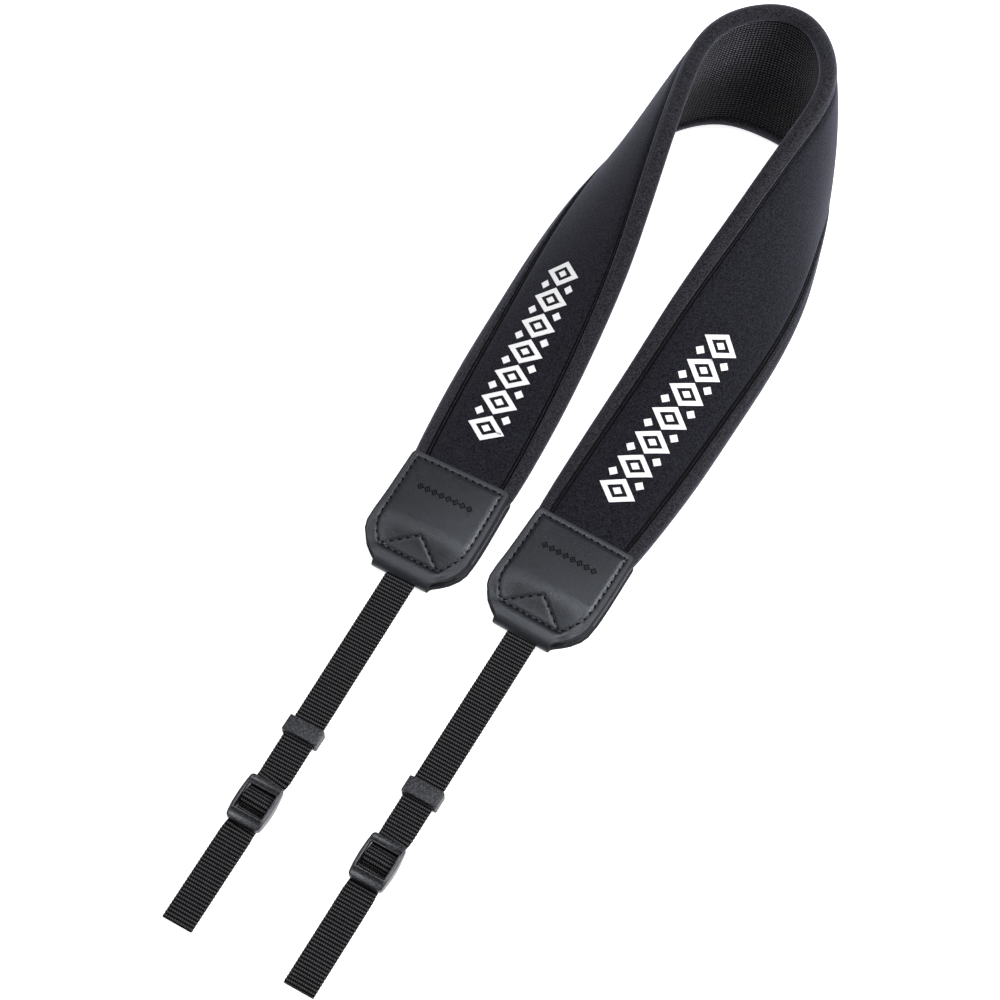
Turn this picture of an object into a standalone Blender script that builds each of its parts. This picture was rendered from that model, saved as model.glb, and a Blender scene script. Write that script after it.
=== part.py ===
"""Camera neck strap lying on a flat surface, modelled at its real size in metres.

A padded band bends round in a U: its two legs lie printed side up, and each twists until
the bend stands on its outer edge. A folded leather end is sewn over each end of the band.
Narrow webbing comes out of each fold and runs through a keeper and a three-bar buckle.

The frame: +Z up from the surface, the bend at +Y, the free webbing ends at -Y, and the
plane X = 0 between the legs. "Inner" is the long edge of the band towards X = 0.
"""

import math
from collections import namedtuple

import bmesh
import bpy
import numpy as np
from mathutils import Matrix, Vector

# ---------------------------------------------------------------- driving dimensions

GAP = 0.0003                      # between two pieces that touch on the real strap

PAD_THICKNESS = 0.0052
PAD_SEWN_THICKNESS = 0.0044       # squeezed between the two leather flaps
PAD_SEGMENTS = 64                 # lengths of the loft, end to end

FRONT_SEAM = 0.0022               # channel's middle, from the centre of the rounded edge
CHANNEL_HALF = 0.0008
CHANNEL_DEPTH = 0.0005
PANEL_CROWN = 0.0014              # how far the padded front panel swells at its middle
PANEL_COLUMNS = 4                 # strips across the front panel and across the lining
BACK_SEAM = 0.0012                # edge of the lining, from the centre of the rounded edge
LINING_RECESS = 0.0014
LINING_THICKNESS = 0.0007

LEATHER_THICKNESS = 0.0010
LEATHER_COLUMNS = 9
LEATHER_LENGTH = 0.0369           # upper edge to the tip of the fold
LEATHER_HALF_HEIGHT = PAD_SEWN_THICKNESS / 2 + GAP + LEATHER_THICKNESS
FOLD_RADIUS = 0.0026              # outside of the fold
FOLD_STEPS = 8
FOLD_START = LEATHER_LENGTH - FOLD_RADIUS
LEAN = 0.0008                     # how far both leather ends bow towards -X
LEAN_AT = 0.0300                  # where they do so most, from their upper edges
LEAN_REACH = 0.0080
FLAP_SLOPE_START = 0.0265         # where the flaps start to close towards the fold
PAD_END = 0.0265                  # the band's cut end, from the leather's upper edge
LINING_SHORT = 2                  # segments that the lining ends before the band does
FLAP_CORNER = 0.0020              # length of the leather's two rounded upper corners
PAD_SEWN_AT = (-FLAP_CORNER, 0.0030, 0.0100, PAD_END)  # flat there, between the flaps
PAD_INSET = 0.0002                # the band's edge inside the leather's edge
PAD_PROUD = 0.0006                # and past it where the band runs in under the flap

WEBBING_WIDTH = 0.0096
WEBBING_SQUEEZED = 0.0082         # where it is pulled through the buckle
WEBBING_WIDENS = 0.0030           # distance over which it comes back to its full width
WEBBING_EDGE = 0.00036            # how far its rounded long edges reach in
WEBBING_THICKNESS = 0.0012
WEBBING_LEVEL = FOLD_RADIUS       # height of its middle from the fold to the buckle
WEBBING_START_Y = -0.0336         # its sewn end, inside the fold
WEBBING_STRAIGHT_TO = 0.0095      # from the buckle's middle to where it starts to turn
BUCKLE_DRIFT = 0.0002             # sideways, from the buckle's middle to each of its ends
SLOT_WIDTH = 0.0104
SLOT_HEIGHT = 0.0020

KEEPER_WIDTH = 0.0112
KEEPER_LENGTH = 0.0050
KEEPER_BOTTOM = 0.0001
KEEPER_TOP = 0.0048
KEEPER_SLOT_WIDTH = 0.0102
KEEPER_SLOT_HEIGHT = 0.0018

BUCKLE_LENGTH = 0.0142
BUCKLE_WIDTH = 0.0104             # across its ends
BARREL_STEPS = 6
RAIL_STEPS = 8
RAIL_REACH = 1.1                  # the curve under the rails runs a little past both ends
BUCKLE_BULGE = 0.0005             # what each barrel side adds at the middle
BUCKLE_TOP = 0.0050
BUCKLE_CLEAR = 0.0090             # between its two side rails
UPPER_BAR = 0.00285               # bar lengths along the strap
LOWER_BAR = 0.0031
UPPER_BAR_UNDERSIDE = 0.0035
LOWER_BAR_UNDERSIDE = 0.0022
RAIL_UNDERSIDE = 0.0014           # height of the side rails' underside at their middle
RAIL_TILT = 0.00055               # how much higher that is at the upper end, lower below
RAIL_ARCH = 0.00135               # and how far it rises towards both ends
CENTRE_BAR_RADIUS = 0.0007
CENTRE_BAR_SIDES = 10
CENTRE_BAR_HEIGHT = 0.0022
CENTRE_BAR_SHIFT = 0.0002         # from the buckle's middle, towards the bend
CENTRE_BAR_BURIED = 0.0004        # how far each of its ends runs into the frame
BUCKLE_ROUNDING = 0.0009
KEEPER_ROUNDING = 0.0005

# The middle of each leather end's upper edge, how far it turns inwards towards the fold,
# and how far its inner edge is raised there. Then the middle of the webbing, seen from
# above: inside the fold, above the buckle, in the buckle and in the free end.
Side = namedtuple(
    "Side",
    "name sign leather_x leather_y leather_yaw leather_tilt "
    "start_x above_x buckle_x tail_x end_y keeper_y buckle_y",
)
SIDES = [
    Side(
        "left", -1, 0.0202, -0.0054, math.radians(0.8), math.radians(3.5),
        -0.0197, -0.0185, -0.0190, -0.0194, -0.1606, -0.0963, -0.1211,
    ),
    Side(
        "right", 1, 0.0203, -0.0041, math.radians(1.4), math.radians(0.0),
        0.0197, 0.0194, 0.0190, 0.0188, -0.1599, -0.0954, -0.1191,
    ),
]

# Sections across the band, from the middle of the bend down the leg at +X. Each gives the
# centres of its two rounded long edges.
Section = namedtuple("Section", "inner_x inner_y inner_z outer_x outer_y outer_z")
BAND_SECTIONS = [
    Section(0.0000, 0.1580, 0.0476, 0.0000, 0.1470, 0.0026),
    Section(0.0114, 0.1524, 0.0484, 0.0151, 0.1434, 0.0038),
    Section(0.0192, 0.1382, 0.0486, 0.0267, 0.1299, 0.0066),
    Section(0.0181, 0.1177, 0.0440, 0.0329, 0.1130, 0.0074),
    Section(0.0142, 0.0940, 0.0329, 0.0371, 0.0950, 0.0049),
    Section(0.0104, 0.0702, 0.0216, 0.0387, 0.0725, 0.0031),
    Section(0.0083, 0.0463, 0.0125, 0.0382, 0.0471, 0.0029),
    Section(0.0068, 0.0216, 0.0070, 0.0370, 0.0208, 0.0030),
]

# Half of the leather's width at distances from its upper edge. Past the last row it keeps
# that width round the fold.
LeatherWidth = namedtuple("LeatherWidth", "along half_width")
LEATHER_OUTLINE = [
    LeatherWidth(0.0000, 0.0154),
    LeatherWidth(0.0005, 0.0159),
    LeatherWidth(0.0016, 0.0162),
    LeatherWidth(0.0120, 0.0164),
    LeatherWidth(0.0220, 0.0166),
    LeatherWidth(0.0260, 0.0165),
    LeatherWidth(0.0285, 0.0157),
    LeatherWidth(0.0310, 0.0139),
    LeatherWidth(0.0330, 0.0118),
    LeatherWidth(0.0345, 0.0100),
    LeatherWidth(0.0355, 0.0093),
]

# The webbing's middle line in the buckle, as distances from the buckle's middle towards the
# bend and heights: under the upper bar, over the centre bar, under the lower bar.
Bend = namedtuple("Bend", "ahead height")
WEAVE_THROUGH_BUCKLE = [
    Bend(0.0110, WEBBING_LEVEL),
    Bend(0.0085, WEBBING_LEVEL),
    Bend(0.0064, 0.00252),
    Bend(0.0044, 0.00245),
    Bend(0.0024, 0.00315),
    Bend(0.0005, 0.00385),
    Bend(-0.0012, 0.00342),
    Bend(-0.0026, 0.00220),
    Bend(-0.0042, 0.00115),
    Bend(-0.0060, 0.00102),
    Bend(-0.0085, 0.00100),
]
WEAVE_STEPS = 30
TAIL_LEVEL = 0.0008               # height of the free end's middle
TAIL_SETTLES = 0.0185             # from the buckle's middle to where the tail lies flat

CUT_PAST = 0.0020                 # how far a cutter runs past the wall that it opens
SHARP_ANGLE = math.radians(35)


# ---------------------------------------------------------------- scene and materials

for old in list(bpy.data.objects):
    bpy.data.objects.remove(old, do_unlink=True)

strap = bpy.data.collections.new("camera_neck_strap")
helpers = bpy.data.collections.new("cutters")
bpy.context.scene.collection.children.link(strap)
bpy.context.scene.collection.children.link(helpers)


def material(name, colour, roughness, metallic=0.0):
    """A Principled material with one plain finish."""
    made = bpy.data.materials.new(name)
    made.use_nodes = True
    shader = made.node_tree.nodes["Principled BSDF"]
    shader.inputs["Base Color"].default_value = (*colour, 1.0)
    shader.inputs["Roughness"].default_value = roughness
    shader.inputs["Metallic"].default_value = metallic
    return made


NEOPRENE = material("neoprene", (0.012, 0.012, 0.016), 0.85)
MESH_FABRIC = material("mesh_fabric", (0.020, 0.020, 0.022), 0.90)
LEATHER = material("leather", (0.030, 0.031, 0.033), 0.45)
WEBBING = material("webbing", (0.010, 0.010, 0.010), 0.80)
KEEPER_PLASTIC = material("keeper_plastic", (0.032, 0.032, 0.035), 0.60)
BUCKLE_PLASTIC = material("buckle_plastic", (0.015, 0.015, 0.016), 0.30)


# ---------------------------------------------------------------- shape helpers


def natural_spline(knots, places):
    """Points at the given places, counted in knots, on the natural cubic through knots."""
    knots = np.asarray(knots, float)
    bends = np.zeros_like(knots)
    inside = len(knots) - 2
    system = 4 * np.eye(inside) + np.eye(inside, k=1) + np.eye(inside, k=-1)
    bends[1:-1] = np.linalg.solve(system, 6 * np.diff(knots, 2, axis=0))
    first = np.clip(np.asarray(places).astype(int), 0, inside)
    after = (places - first)[:, None]
    before = 1 - after
    line = before * knots[first] + after * knots[first + 1]
    curve = (before**3 - before) * bends[first] + (after**3 - after) * bends[first + 1]
    return line + curve / 6


def unit(vectors):
    """The vectors at length 1."""
    return vectors / np.linalg.norm(vectors, axis=-1, keepdims=True)


def add_object(name, mesh, finish, collection=strap):
    """An object that shows this mesh, shaded smooth where it is round."""
    mesh.shade_smooth()
    mesh.set_sharp_from_angle(angle=SHARP_ANGLE)
    if finish:
        mesh.materials.append(finish)
    made = bpy.data.objects.new(name, mesh)
    collection.objects.link(made)
    if collection is helpers:
        made.hide_render = True
        made.display_type = "WIRE"
    return made


def loft(name, rings, finish):
    """A closed body through rings of equally many points, capped at both ends."""
    body = bmesh.new()
    loops = [[body.verts.new(point) for point in ring] for ring in rings]
    for lower, upper in zip(loops, loops[1:]):
        for i in range(len(lower)):
            a, b = lower[i - 1], lower[i]
            c, d = upper[i], upper[i - 1]
            body.faces.new((a, b, c))
            body.faces.new((a, c, d))
    body.faces.new(loops[0][::-1])
    body.faces.new(loops[-1])
    bmesh.ops.triangulate(body, faces=[face for face in body.faces if len(face.verts) > 3])
    bmesh.ops.recalc_face_normals(body, faces=body.faces)
    mesh = bpy.data.meshes.new(name)
    body.to_mesh(mesh)
    body.free()
    return add_object(name, mesh, finish)


def box(name, low, high, finish=None, collection=strap):
    """A box between two corners."""
    body = bmesh.new()
    bmesh.ops.create_cube(body, size=1.0)
    low, high = Vector(low), Vector(high)
    middle = (low + high) / 2
    for vert in body.verts:
        vert.co = Vector(c * s for c, s in zip(vert.co, high - low)) + middle
    mesh = bpy.data.meshes.new(name)
    body.to_mesh(mesh)
    body.free()
    return add_object(name, mesh, finish, collection)


def cut(piece, name, low, high):
    """Takes a box-shaped space out of a piece."""
    cutter = box(name, low, high, collection=helpers)
    boolean = piece.modifiers.new(name, "BOOLEAN")
    boolean.operation = "DIFFERENCE"
    boolean.solver = "EXACT"
    boolean.object = cutter


def round_edges(piece, width, segments=2):
    """Rounds the sharp edges of a piece."""
    bevel = piece.modifiers.new("rounded_edges", "BEVEL")
    bevel.width = width
    bevel.segments = segments
    bevel.limit_method = "ANGLE"
    bevel.angle_limit = SHARP_ANGLE


# ---------------------------------------------------------------- leather ends


def leather_half_width(along):
    """Half of the leather's width at a distance from its upper edge."""
    rows = LEATHER_OUTLINE
    return np.interp(along, [row.along for row in rows], [row.half_width for row in rows])


def leather_half_height(along):
    """Half of the leather end's height: the flaps close smoothly towards the fold."""
    share = np.clip((along - FLAP_SLOPE_START) / (FOLD_START - FLAP_SLOPE_START), 0, 1)
    ease = share * share * (3 - 2 * share)
    return LEATHER_HALF_HEIGHT + (FOLD_RADIUS - LEATHER_HALF_HEIGHT) * ease


def leather_point(side, along, across, height):
    """A point along a leather end, across towards its inner edge, and above its middle.

    The end is level at the fold, and its lower edge stays on the surface.
    """
    flat_along = min(along, FOLD_START)
    tilt = side.leather_tilt * (1 - flat_along / FOLD_START)
    level = leather_half_height(flat_along)
    level += leather_half_width(flat_along) * math.sin(abs(tilt))
    sideways = across * math.cos(tilt) - height * math.sin(tilt)
    yaw = side.leather_yaw
    x = side.leather_x - along * math.sin(yaw) - sideways * math.cos(yaw)
    y = side.leather_y - along * math.cos(yaw) + sideways * math.sin(yaw)
    z = level + across * math.sin(tilt) + height * math.cos(tilt)
    lean = LEAN * math.exp(-(((along - LEAN_AT) / LEAN_REACH) ** 2))
    return side.sign * x - lean, y, z


def leather_path():
    """Rows (distance along, height from the middle) over the front flap, fold and back."""
    flap = [row.along for row in LEATHER_OUTLINE if row.along < FOLD_START]
    half = LEATHER_THICKNESS / 2
    front = [(along, leather_half_height(along) - half) for along in flap]
    turn = [math.pi * step / FOLD_STEPS for step in range(FOLD_STEPS + 1)]
    reach = FOLD_RADIUS - half
    nose = [(FOLD_START + reach * math.sin(a), reach * math.cos(a)) for a in turn]
    back = [(along, -height) for along, height in reversed(front)]
    return front + nose + back


def leather_end(side):
    """One leather piece folded over the band's end, with a slot for the webbing."""
    columns = np.linspace(-1, 1, LEATHER_COLUMNS)
    body = bmesh.new()
    rows = []
    for along, height in leather_path():
        half_width = leather_half_width(along)
        points = [leather_point(side, along, half_width * c, height) for c in columns]
        rows.append([body.verts.new(point) for point in points])
    for near, far in zip(rows, rows[1:]):
        for i in range(len(columns) - 1):
            body.faces.new((near[i], near[i + 1], far[i + 1], far[i]))
    bmesh.ops.recalc_face_normals(body, faces=body.faces)
    mesh = bpy.data.meshes.new(f"leather_end_{side.name}")
    body.to_mesh(mesh)
    body.free()
    piece = add_object(f"leather_end_{side.name}", mesh, LEATHER)
    wall = piece.modifiers.new("leather_thickness", "SOLIDIFY")
    wall.thickness = LEATHER_THICKNESS
    wall.offset = 0.0
    wall.use_even_offset = True
    tip = side.leather_y - LEATHER_LENGTH
    x = webbing_x(side, tip)
    cut(
        piece,
        f"webbing_slot_{side.name}",
        (x - SLOT_WIDTH / 2, tip - CUT_PAST, WEBBING_LEVEL - SLOT_HEIGHT / 2),
        (x + SLOT_WIDTH / 2, tip + FOLD_RADIUS + GAP, WEBBING_LEVEL + SLOT_HEIGHT / 2),
    )


# ---------------------------------------------------------------- padded band and lining


def sewn_section(side, along):
    """The band's section between the leather flaps, inside the leather's outline."""
    edge = -PAD_PROUD if along < 0 else PAD_INSET
    half = leather_half_width(max(along, FLAP_CORNER)) - edge - PAD_SEWN_THICKNESS / 2
    inner = leather_point(side, along, half, 0.0)
    outer = leather_point(side, along, -half, 0.0)
    return [*inner, *outer, PAD_SEWN_THICKNESS]


def leg_sections(side):
    """The sections of one leg, from beside the bend's middle to its sewn end."""
    free = []
    for row in BAND_SECTIONS[1:]:
        inner = (side.sign * row.inner_x, row.inner_y, row.inner_z)
        outer = (side.sign * row.outer_x, row.outer_y, row.outer_z)
        free.append([*inner, *outer, PAD_THICKNESS])
    return free + [sewn_section(side, along) for along in PAD_SEWN_AT]


def band_rows():
    """Centres of the two rounded edges, and thickness, from the left end to the right."""
    left, right = SIDES
    middle = [[*BAND_SECTIONS[0], PAD_THICKNESS]]
    knots = np.array(leg_sections(left)[::-1] + middle + leg_sections(right))
    rows = natural_spline(knots, np.linspace(0, len(knots) - 1, PAD_SEGMENTS + 1))
    return rows[:, 0:3], rows[:, 3:6], rows[:, 6]


def band_frames():
    """Middle, direction across, front direction, half width and thickness of each row."""
    inner, outer, thickness = band_rows()
    middle = (inner + outer) / 2
    across = unit(inner - outer)
    along = np.gradient(middle, axis=0)
    front = unit(np.cross(across, along))
    half = np.linalg.norm(inner - outer, axis=1) / 2
    return middle, across, front, half, thickness


def edge_arc(centre, radius, start, steps=6):
    """Half a turn of points clockwise round a long edge, from a starting angle."""
    turns = [start - math.pi * step / steps for step in range(steps + 1)]
    return [(centre + radius * math.cos(a), radius * math.sin(a)) for a in turns]


def band_profile(half, thickness):
    """Points (across, front) round the band's section: channels in front, recess behind."""
    face = thickness / 2
    outer_edge = edge_arc(-half, face, -math.pi / 2)
    inner_edge = edge_arc(half, face, math.pi / 2)
    channel = half - FRONT_SEAM
    panel = channel - CHANNEL_HALF
    front = [(-channel - CHANNEL_HALF, face), (-channel, face - CHANNEL_DEPTH)]
    swell = (thickness - PAD_SEWN_THICKNESS) / (PAD_THICKNESS - PAD_SEWN_THICKNESS)
    crown = PANEL_CROWN * min(1.0, max(0.0, swell))
    columns = np.linspace(-1, 1, PANEL_COLUMNS + 1)
    front += [(c * panel, face + crown * (1 - c * c)) for c in columns]
    front += [(channel, face - CHANNEL_DEPTH), (channel + CHANNEL_HALF, face)]
    lining = half - BACK_SEAM
    floor = LINING_RECESS - face
    back = [(lining, -face)]
    back += [(c * lining, floor) for c in columns[::-1]]
    back += [(-lining, -face)]
    return outer_edge + front + inner_edge + back


def lining_profile(half, thickness):
    """Points (across, front) round the lining's section, clear of its recess.

    They run the same way round as the recess, so that the two twisted faces stay parallel.
    """
    reach = half - BACK_SEAM - GAP
    inside = LINING_RECESS - GAP - thickness / 2
    outside = inside - LINING_THICKNESS
    columns = np.linspace(1, -1, PANEL_COLUMNS + 1)
    return [(c * reach, inside) for c in columns] + [(-c * reach, outside) for c in columns]


def band_loft(name, profile, finish, short=0):
    """A body with this profile along the band, short of each end by some segments."""
    rings = []
    for middle, across, front, half, thickness in zip(*band_frames()):
        points = profile(half, thickness)
        rings.append([middle + across * a + front * f for a, f in points])
    return loft(name, rings[short : len(rings) - short], finish)


# ---------------------------------------------------------------- webbing


def webbing_x(side, y):
    """The middle of a side's webbing at this y, seen from above."""
    half = BUCKLE_LENGTH / 2
    places = [
        (WEBBING_START_Y, side.start_x),
        (side.buckle_y + WEBBING_STRAIGHT_TO, side.above_x),
        (side.buckle_y + half, side.buckle_x + BUCKLE_DRIFT),
        (side.buckle_y - half, side.buckle_x - BUCKLE_DRIFT),
        (side.buckle_y - WEBBING_STRAIGHT_TO, side.tail_x),
    ]
    return np.interp(-y, [-place for place, _ in places], [x for _, x in places])


def webbing_path(side):
    """Middle line (y, height) of a webbing, from its sewn end to its free end."""
    knots = np.array([(side.buckle_y + bend.ahead, bend.height) for bend in WEAVE_THROUGH_BUCKLE])
    woven = natural_spline(knots, np.linspace(0, len(knots) - 1, WEAVE_STEPS))
    tip = side.leather_y - LEATHER_LENGTH
    straight = [(WEBBING_START_Y, WEBBING_LEVEL), (tip, WEBBING_LEVEL)]
    tail = [(side.buckle_y - TAIL_SETTLES, TAIL_LEVEL), (side.end_y, TAIL_LEVEL)]
    return np.vstack([straight, woven, tail])


def webbing_half_width(ahead):
    """Half of the webbing's width, at a distance from the buckle's middle."""
    share = np.clip((abs(ahead) - BUCKLE_LENGTH / 2) / WEBBING_WIDENS, 0, 1)
    return (WEBBING_SQUEEZED + (WEBBING_WIDTH - WEBBING_SQUEEZED) * share) / 2


def webbing(side):
    """One flat webbing with rounded long edges, woven through its buckle."""
    path = webbing_path(side)
    slope = np.gradient(path, axis=0)
    upward = unit(np.stack([slope[:, 1], -slope[:, 0]], axis=1))
    thick = WEBBING_THICKNESS / 2
    rings = []
    for (y, z), (up_y, up_z) in zip(path, upward):
        x = webbing_x(side, y)
        wide = webbing_half_width(y - side.buckle_y)
        flat = wide - WEBBING_EDGE
        upper = [(-wide, 0), (-flat, thick), (flat, thick)]
        lower = [(wide, 0), (flat, -thick), (-flat, -thick)]
        rings.append([(x + a, y + b * up_y, z + b * up_z) for a, b in upper + lower])
    loft(f"webbing_{side.name}", rings, WEBBING)


# ---------------------------------------------------------------- keepers and buckles


def keeper(side):
    """A moulded loop that slides on the webbing, with its origin on the webbing's line."""
    half_length = KEEPER_LENGTH / 2
    low = (-KEEPER_WIDTH / 2, -half_length, KEEPER_BOTTOM - WEBBING_LEVEL)
    high = (KEEPER_WIDTH / 2, half_length, KEEPER_TOP - WEBBING_LEVEL)
    piece = box(f"keeper_{side.name}", low, high, KEEPER_PLASTIC)
    round_edges(piece, KEEPER_ROUNDING)
    y = side.keeper_y
    x = webbing_x(side, y)
    piece.location = (x, y, WEBBING_LEVEL)
    slot_x = KEEPER_SLOT_WIDTH / 2
    slot_z = KEEPER_SLOT_HEIGHT / 2
    cut(
        piece,
        f"keeper_slot_{side.name}",
        (x - slot_x, y - KEEPER_LENGTH, WEBBING_LEVEL - slot_z),
        (x + slot_x, y + KEEPER_LENGTH, WEBBING_LEVEL + slot_z),
    )


def barrel_outline():
    """The buckle seen from above: straight ends and sides that bow out."""
    right = []
    for share in np.linspace(-1, 1, BARREL_STEPS + 1):
        x = BUCKLE_WIDTH / 2 + BUCKLE_BULGE * (1 - share * share)
        right.append((x, share * BUCKLE_LENGTH / 2))
    return right + [(-x, -y) for x, y in right]


def prism(name, outline, height, finish=None, collection=strap):
    """A block with this outline, seen from above, centred on its origin."""
    body = bmesh.new()
    face = body.faces.new([body.verts.new((x, y, -height / 2)) for x, y in outline])
    raised = bmesh.ops.extrude_face_region(body, geom=[face])["geom"]
    top = [item for item in raised if isinstance(item, bmesh.types.BMVert)]
    bmesh.ops.translate(body, verts=top, vec=(0.0, 0.0, height))
    bmesh.ops.recalc_face_normals(body, faces=body.faces)
    mesh = bpy.data.meshes.new(name)
    body.to_mesh(mesh)
    body.free()
    return add_object(name, mesh, finish, collection)


def rail_outline():
    """The space under the side rails, seen from the side as distances along and up."""
    half = BUCKLE_LENGTH / 2
    curve = []
    for share in np.linspace(-RAIL_REACH, RAIL_REACH, RAIL_STEPS + 1):
        rise = RAIL_TILT * share + RAIL_ARCH * share * share
        curve.append((share * half, RAIL_UNDERSIDE + rise))
    low = -CUT_PAST
    return curve + [(curve[-1][0], low), (curve[0][0], low)]


def rod_along_x(name, radius, length):
    """A round helper rod, centred on its origin."""
    body = bmesh.new()
    bmesh.ops.create_cone(
        body,
        cap_ends=True,
        segments=CENTRE_BAR_SIDES,
        radius1=radius,
        radius2=radius,
        depth=length,
        matrix=Matrix.Rotation(math.pi / 2, 4, "Y"),
    )
    mesh = bpy.data.meshes.new(name)
    body.to_mesh(mesh)
    body.free()
    return add_object(name, mesh, BUCKLE_PLASTIC, helpers)


def buckle(side):
    """A three-bar buckle: bowed side rails, a bar across each end and one between them.

    It lies on the webbing: its rails hang lowest at their middle, clear of the surface.
    """
    name = side.name
    piece = prism(f"buckle_{name}", barrel_outline(), BUCKLE_TOP, BUCKLE_PLASTIC)
    round_edges(piece, BUCKLE_ROUNDING, segments=3)
    y = side.buckle_y
    x = webbing_x(side, y)
    piece.location = (x, y, BUCKLE_TOP / 2)
    under = prism(f"under_rails_{name}", rail_outline(), 2 * BUCKLE_WIDTH, collection=helpers)
    under.rotation_euler = (math.pi / 2, 0.0, math.pi / 2)
    under.location = (x, y, 0.0)
    curve = piece.modifiers.new("under_rails", "BOOLEAN")
    curve.operation = "DIFFERENCE"
    curve.solver = "EXACT"
    curve.object = under

    half = BUCKLE_LENGTH / 2
    left, right = x - BUCKLE_CLEAR / 2, x + BUCKLE_CLEAR / 2
    below, above = -CUT_PAST, BUCKLE_TOP + CUT_PAST
    window_top = y + half - UPPER_BAR
    window_bottom = y - half + LOWER_BAR
    cut(
        piece,
        f"window_{name}",
        (left, window_bottom, below),
        (right, window_top, above),
    )
    cut(
        piece,
        f"under_upper_bar_{name}",
        (left, window_top - CUT_PAST, below),
        (right, y + half + CUT_PAST, UPPER_BAR_UNDERSIDE),
    )
    cut(
        piece,
        f"under_lower_bar_{name}",
        (left, y - half - CUT_PAST, below),
        (right, window_bottom + CUT_PAST, LOWER_BAR_UNDERSIDE),
    )

    length = BUCKLE_CLEAR + 2 * CENTRE_BAR_BURIED
    bar = rod_along_x(f"centre_bar_{name}", CENTRE_BAR_RADIUS, length)
    bar.location = (x, y + CENTRE_BAR_SHIFT, CENTRE_BAR_HEIGHT)
    join = piece.modifiers.new("centre_bar", "BOOLEAN")
    join.operation = "UNION"
    join.solver = "EXACT"
    join.object = bar


# ---------------------------------------------------------------- the strap

band_loft("neck_pad", band_profile, NEOPRENE)
band_loft("mesh_lining", lining_profile, MESH_FABRIC, LINING_SHORT)

for side in SIDES:
    leather_end(side)
    webbing(side)
    keeper(side)
    buckle(side)
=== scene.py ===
# %% [markdown]
# # A padded camera neck strap, piece by piece
#
# The strap lies on a pale table. A padded neoprene band bends round in a U, and a piece of
# leather is folded over each of its ends. Narrow ribbed webbing comes out of each fold and
# runs through a keeper and a three-bar buckle to its cut end.
#
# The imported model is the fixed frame: every length here is in metres, in the frame's own
# axes. +Z is up from the table, the bend lies towards +Y and the free ends towards -Y.

import math
from collections import namedtuple

import bmesh
import bpy
import numpy as np
from mathutils import Matrix, Vector


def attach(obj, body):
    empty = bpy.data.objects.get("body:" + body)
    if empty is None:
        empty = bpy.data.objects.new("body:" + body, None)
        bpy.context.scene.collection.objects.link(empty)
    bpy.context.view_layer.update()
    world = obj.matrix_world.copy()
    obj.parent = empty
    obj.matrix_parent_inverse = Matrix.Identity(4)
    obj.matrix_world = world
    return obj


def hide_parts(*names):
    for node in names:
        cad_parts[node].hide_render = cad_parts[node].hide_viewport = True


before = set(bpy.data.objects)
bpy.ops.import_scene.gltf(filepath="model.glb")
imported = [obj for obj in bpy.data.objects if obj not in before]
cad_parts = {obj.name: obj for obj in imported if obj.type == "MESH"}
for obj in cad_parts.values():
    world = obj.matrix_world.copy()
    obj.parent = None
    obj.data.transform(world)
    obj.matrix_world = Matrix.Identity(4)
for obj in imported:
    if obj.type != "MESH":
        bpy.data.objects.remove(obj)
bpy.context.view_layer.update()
MM = 0.001


def in_mm(*lengths):
    """Lengths in metres as millimetres, rounded for printing."""
    return [round(float(length) / MM, 1) for length in lengths]


# %% [markdown]
# ## The camera
#
# Product photographs of small things are taken with a long lens from well above. A camera
# could be placed by eye, but here its place was worked out from the straight edges of the
# strap: it stands about 0.86 m away, turned 30 degrees to the right of the strap's length
# and 63 degrees above the table. The lens follows from how much of the sensor it fills.

# %% Objects and directions


def placed(name, data):
    """A new object in the scene that shows this mesh, lamp or camera."""
    thing = bpy.data.objects.new(name, data)
    bpy.context.scene.collection.objects.link(thing)
    return thing


def towards(azimuth, elevation):
    """The direction from the table's middle to a place in the room, as a unit vector."""
    return Vector((
        math.sin(azimuth) * math.cos(elevation),
        -math.cos(azimuth) * math.cos(elevation),
        math.sin(elevation),
    ))


# %% Camera
CAMERA_DISTANCE = 0.8585
CAMERA_AZIMUTH = math.radians(29.94)      # 0 looks along +Y
CAMERA_ELEVATION = math.radians(62.80)
CAMERA_TARGET = Vector((-0.00829, -0.00477, 0.0))
CAMERA_LENS_MM = 106.29
SENSOR_MM = 36.0
CLIP_START = 0.01

backward = towards(CAMERA_AZIMUTH, CAMERA_ELEVATION)
camera_data = bpy.data.cameras.new("camera")
camera_data.lens = CAMERA_LENS_MM
camera_data.sensor_width = SENSOR_MM
camera_data.clip_start = CLIP_START
camera = placed("camera", camera_data)
camera.location = CAMERA_TARGET + backward * CAMERA_DISTANCE
camera.rotation_euler = (-backward).to_track_quat("-Z", "Y").to_euler()
bpy.context.scene.camera = camera
print("camera at", [round(value, 4) for value in camera.location])

# %% [markdown]
# ## Shader maths as plain expressions
#
# Every finish is built from shader nodes. Wiring Math nodes by hand is hard to read, so a
# small class wraps one output socket and overloads Python's operators: `1 - mask * 0.5`
# adds the same nodes that one would drag in by hand. Any other node comes from `node`,
# which sets the node's choices first and then its sockets.

# %% One socket


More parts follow.
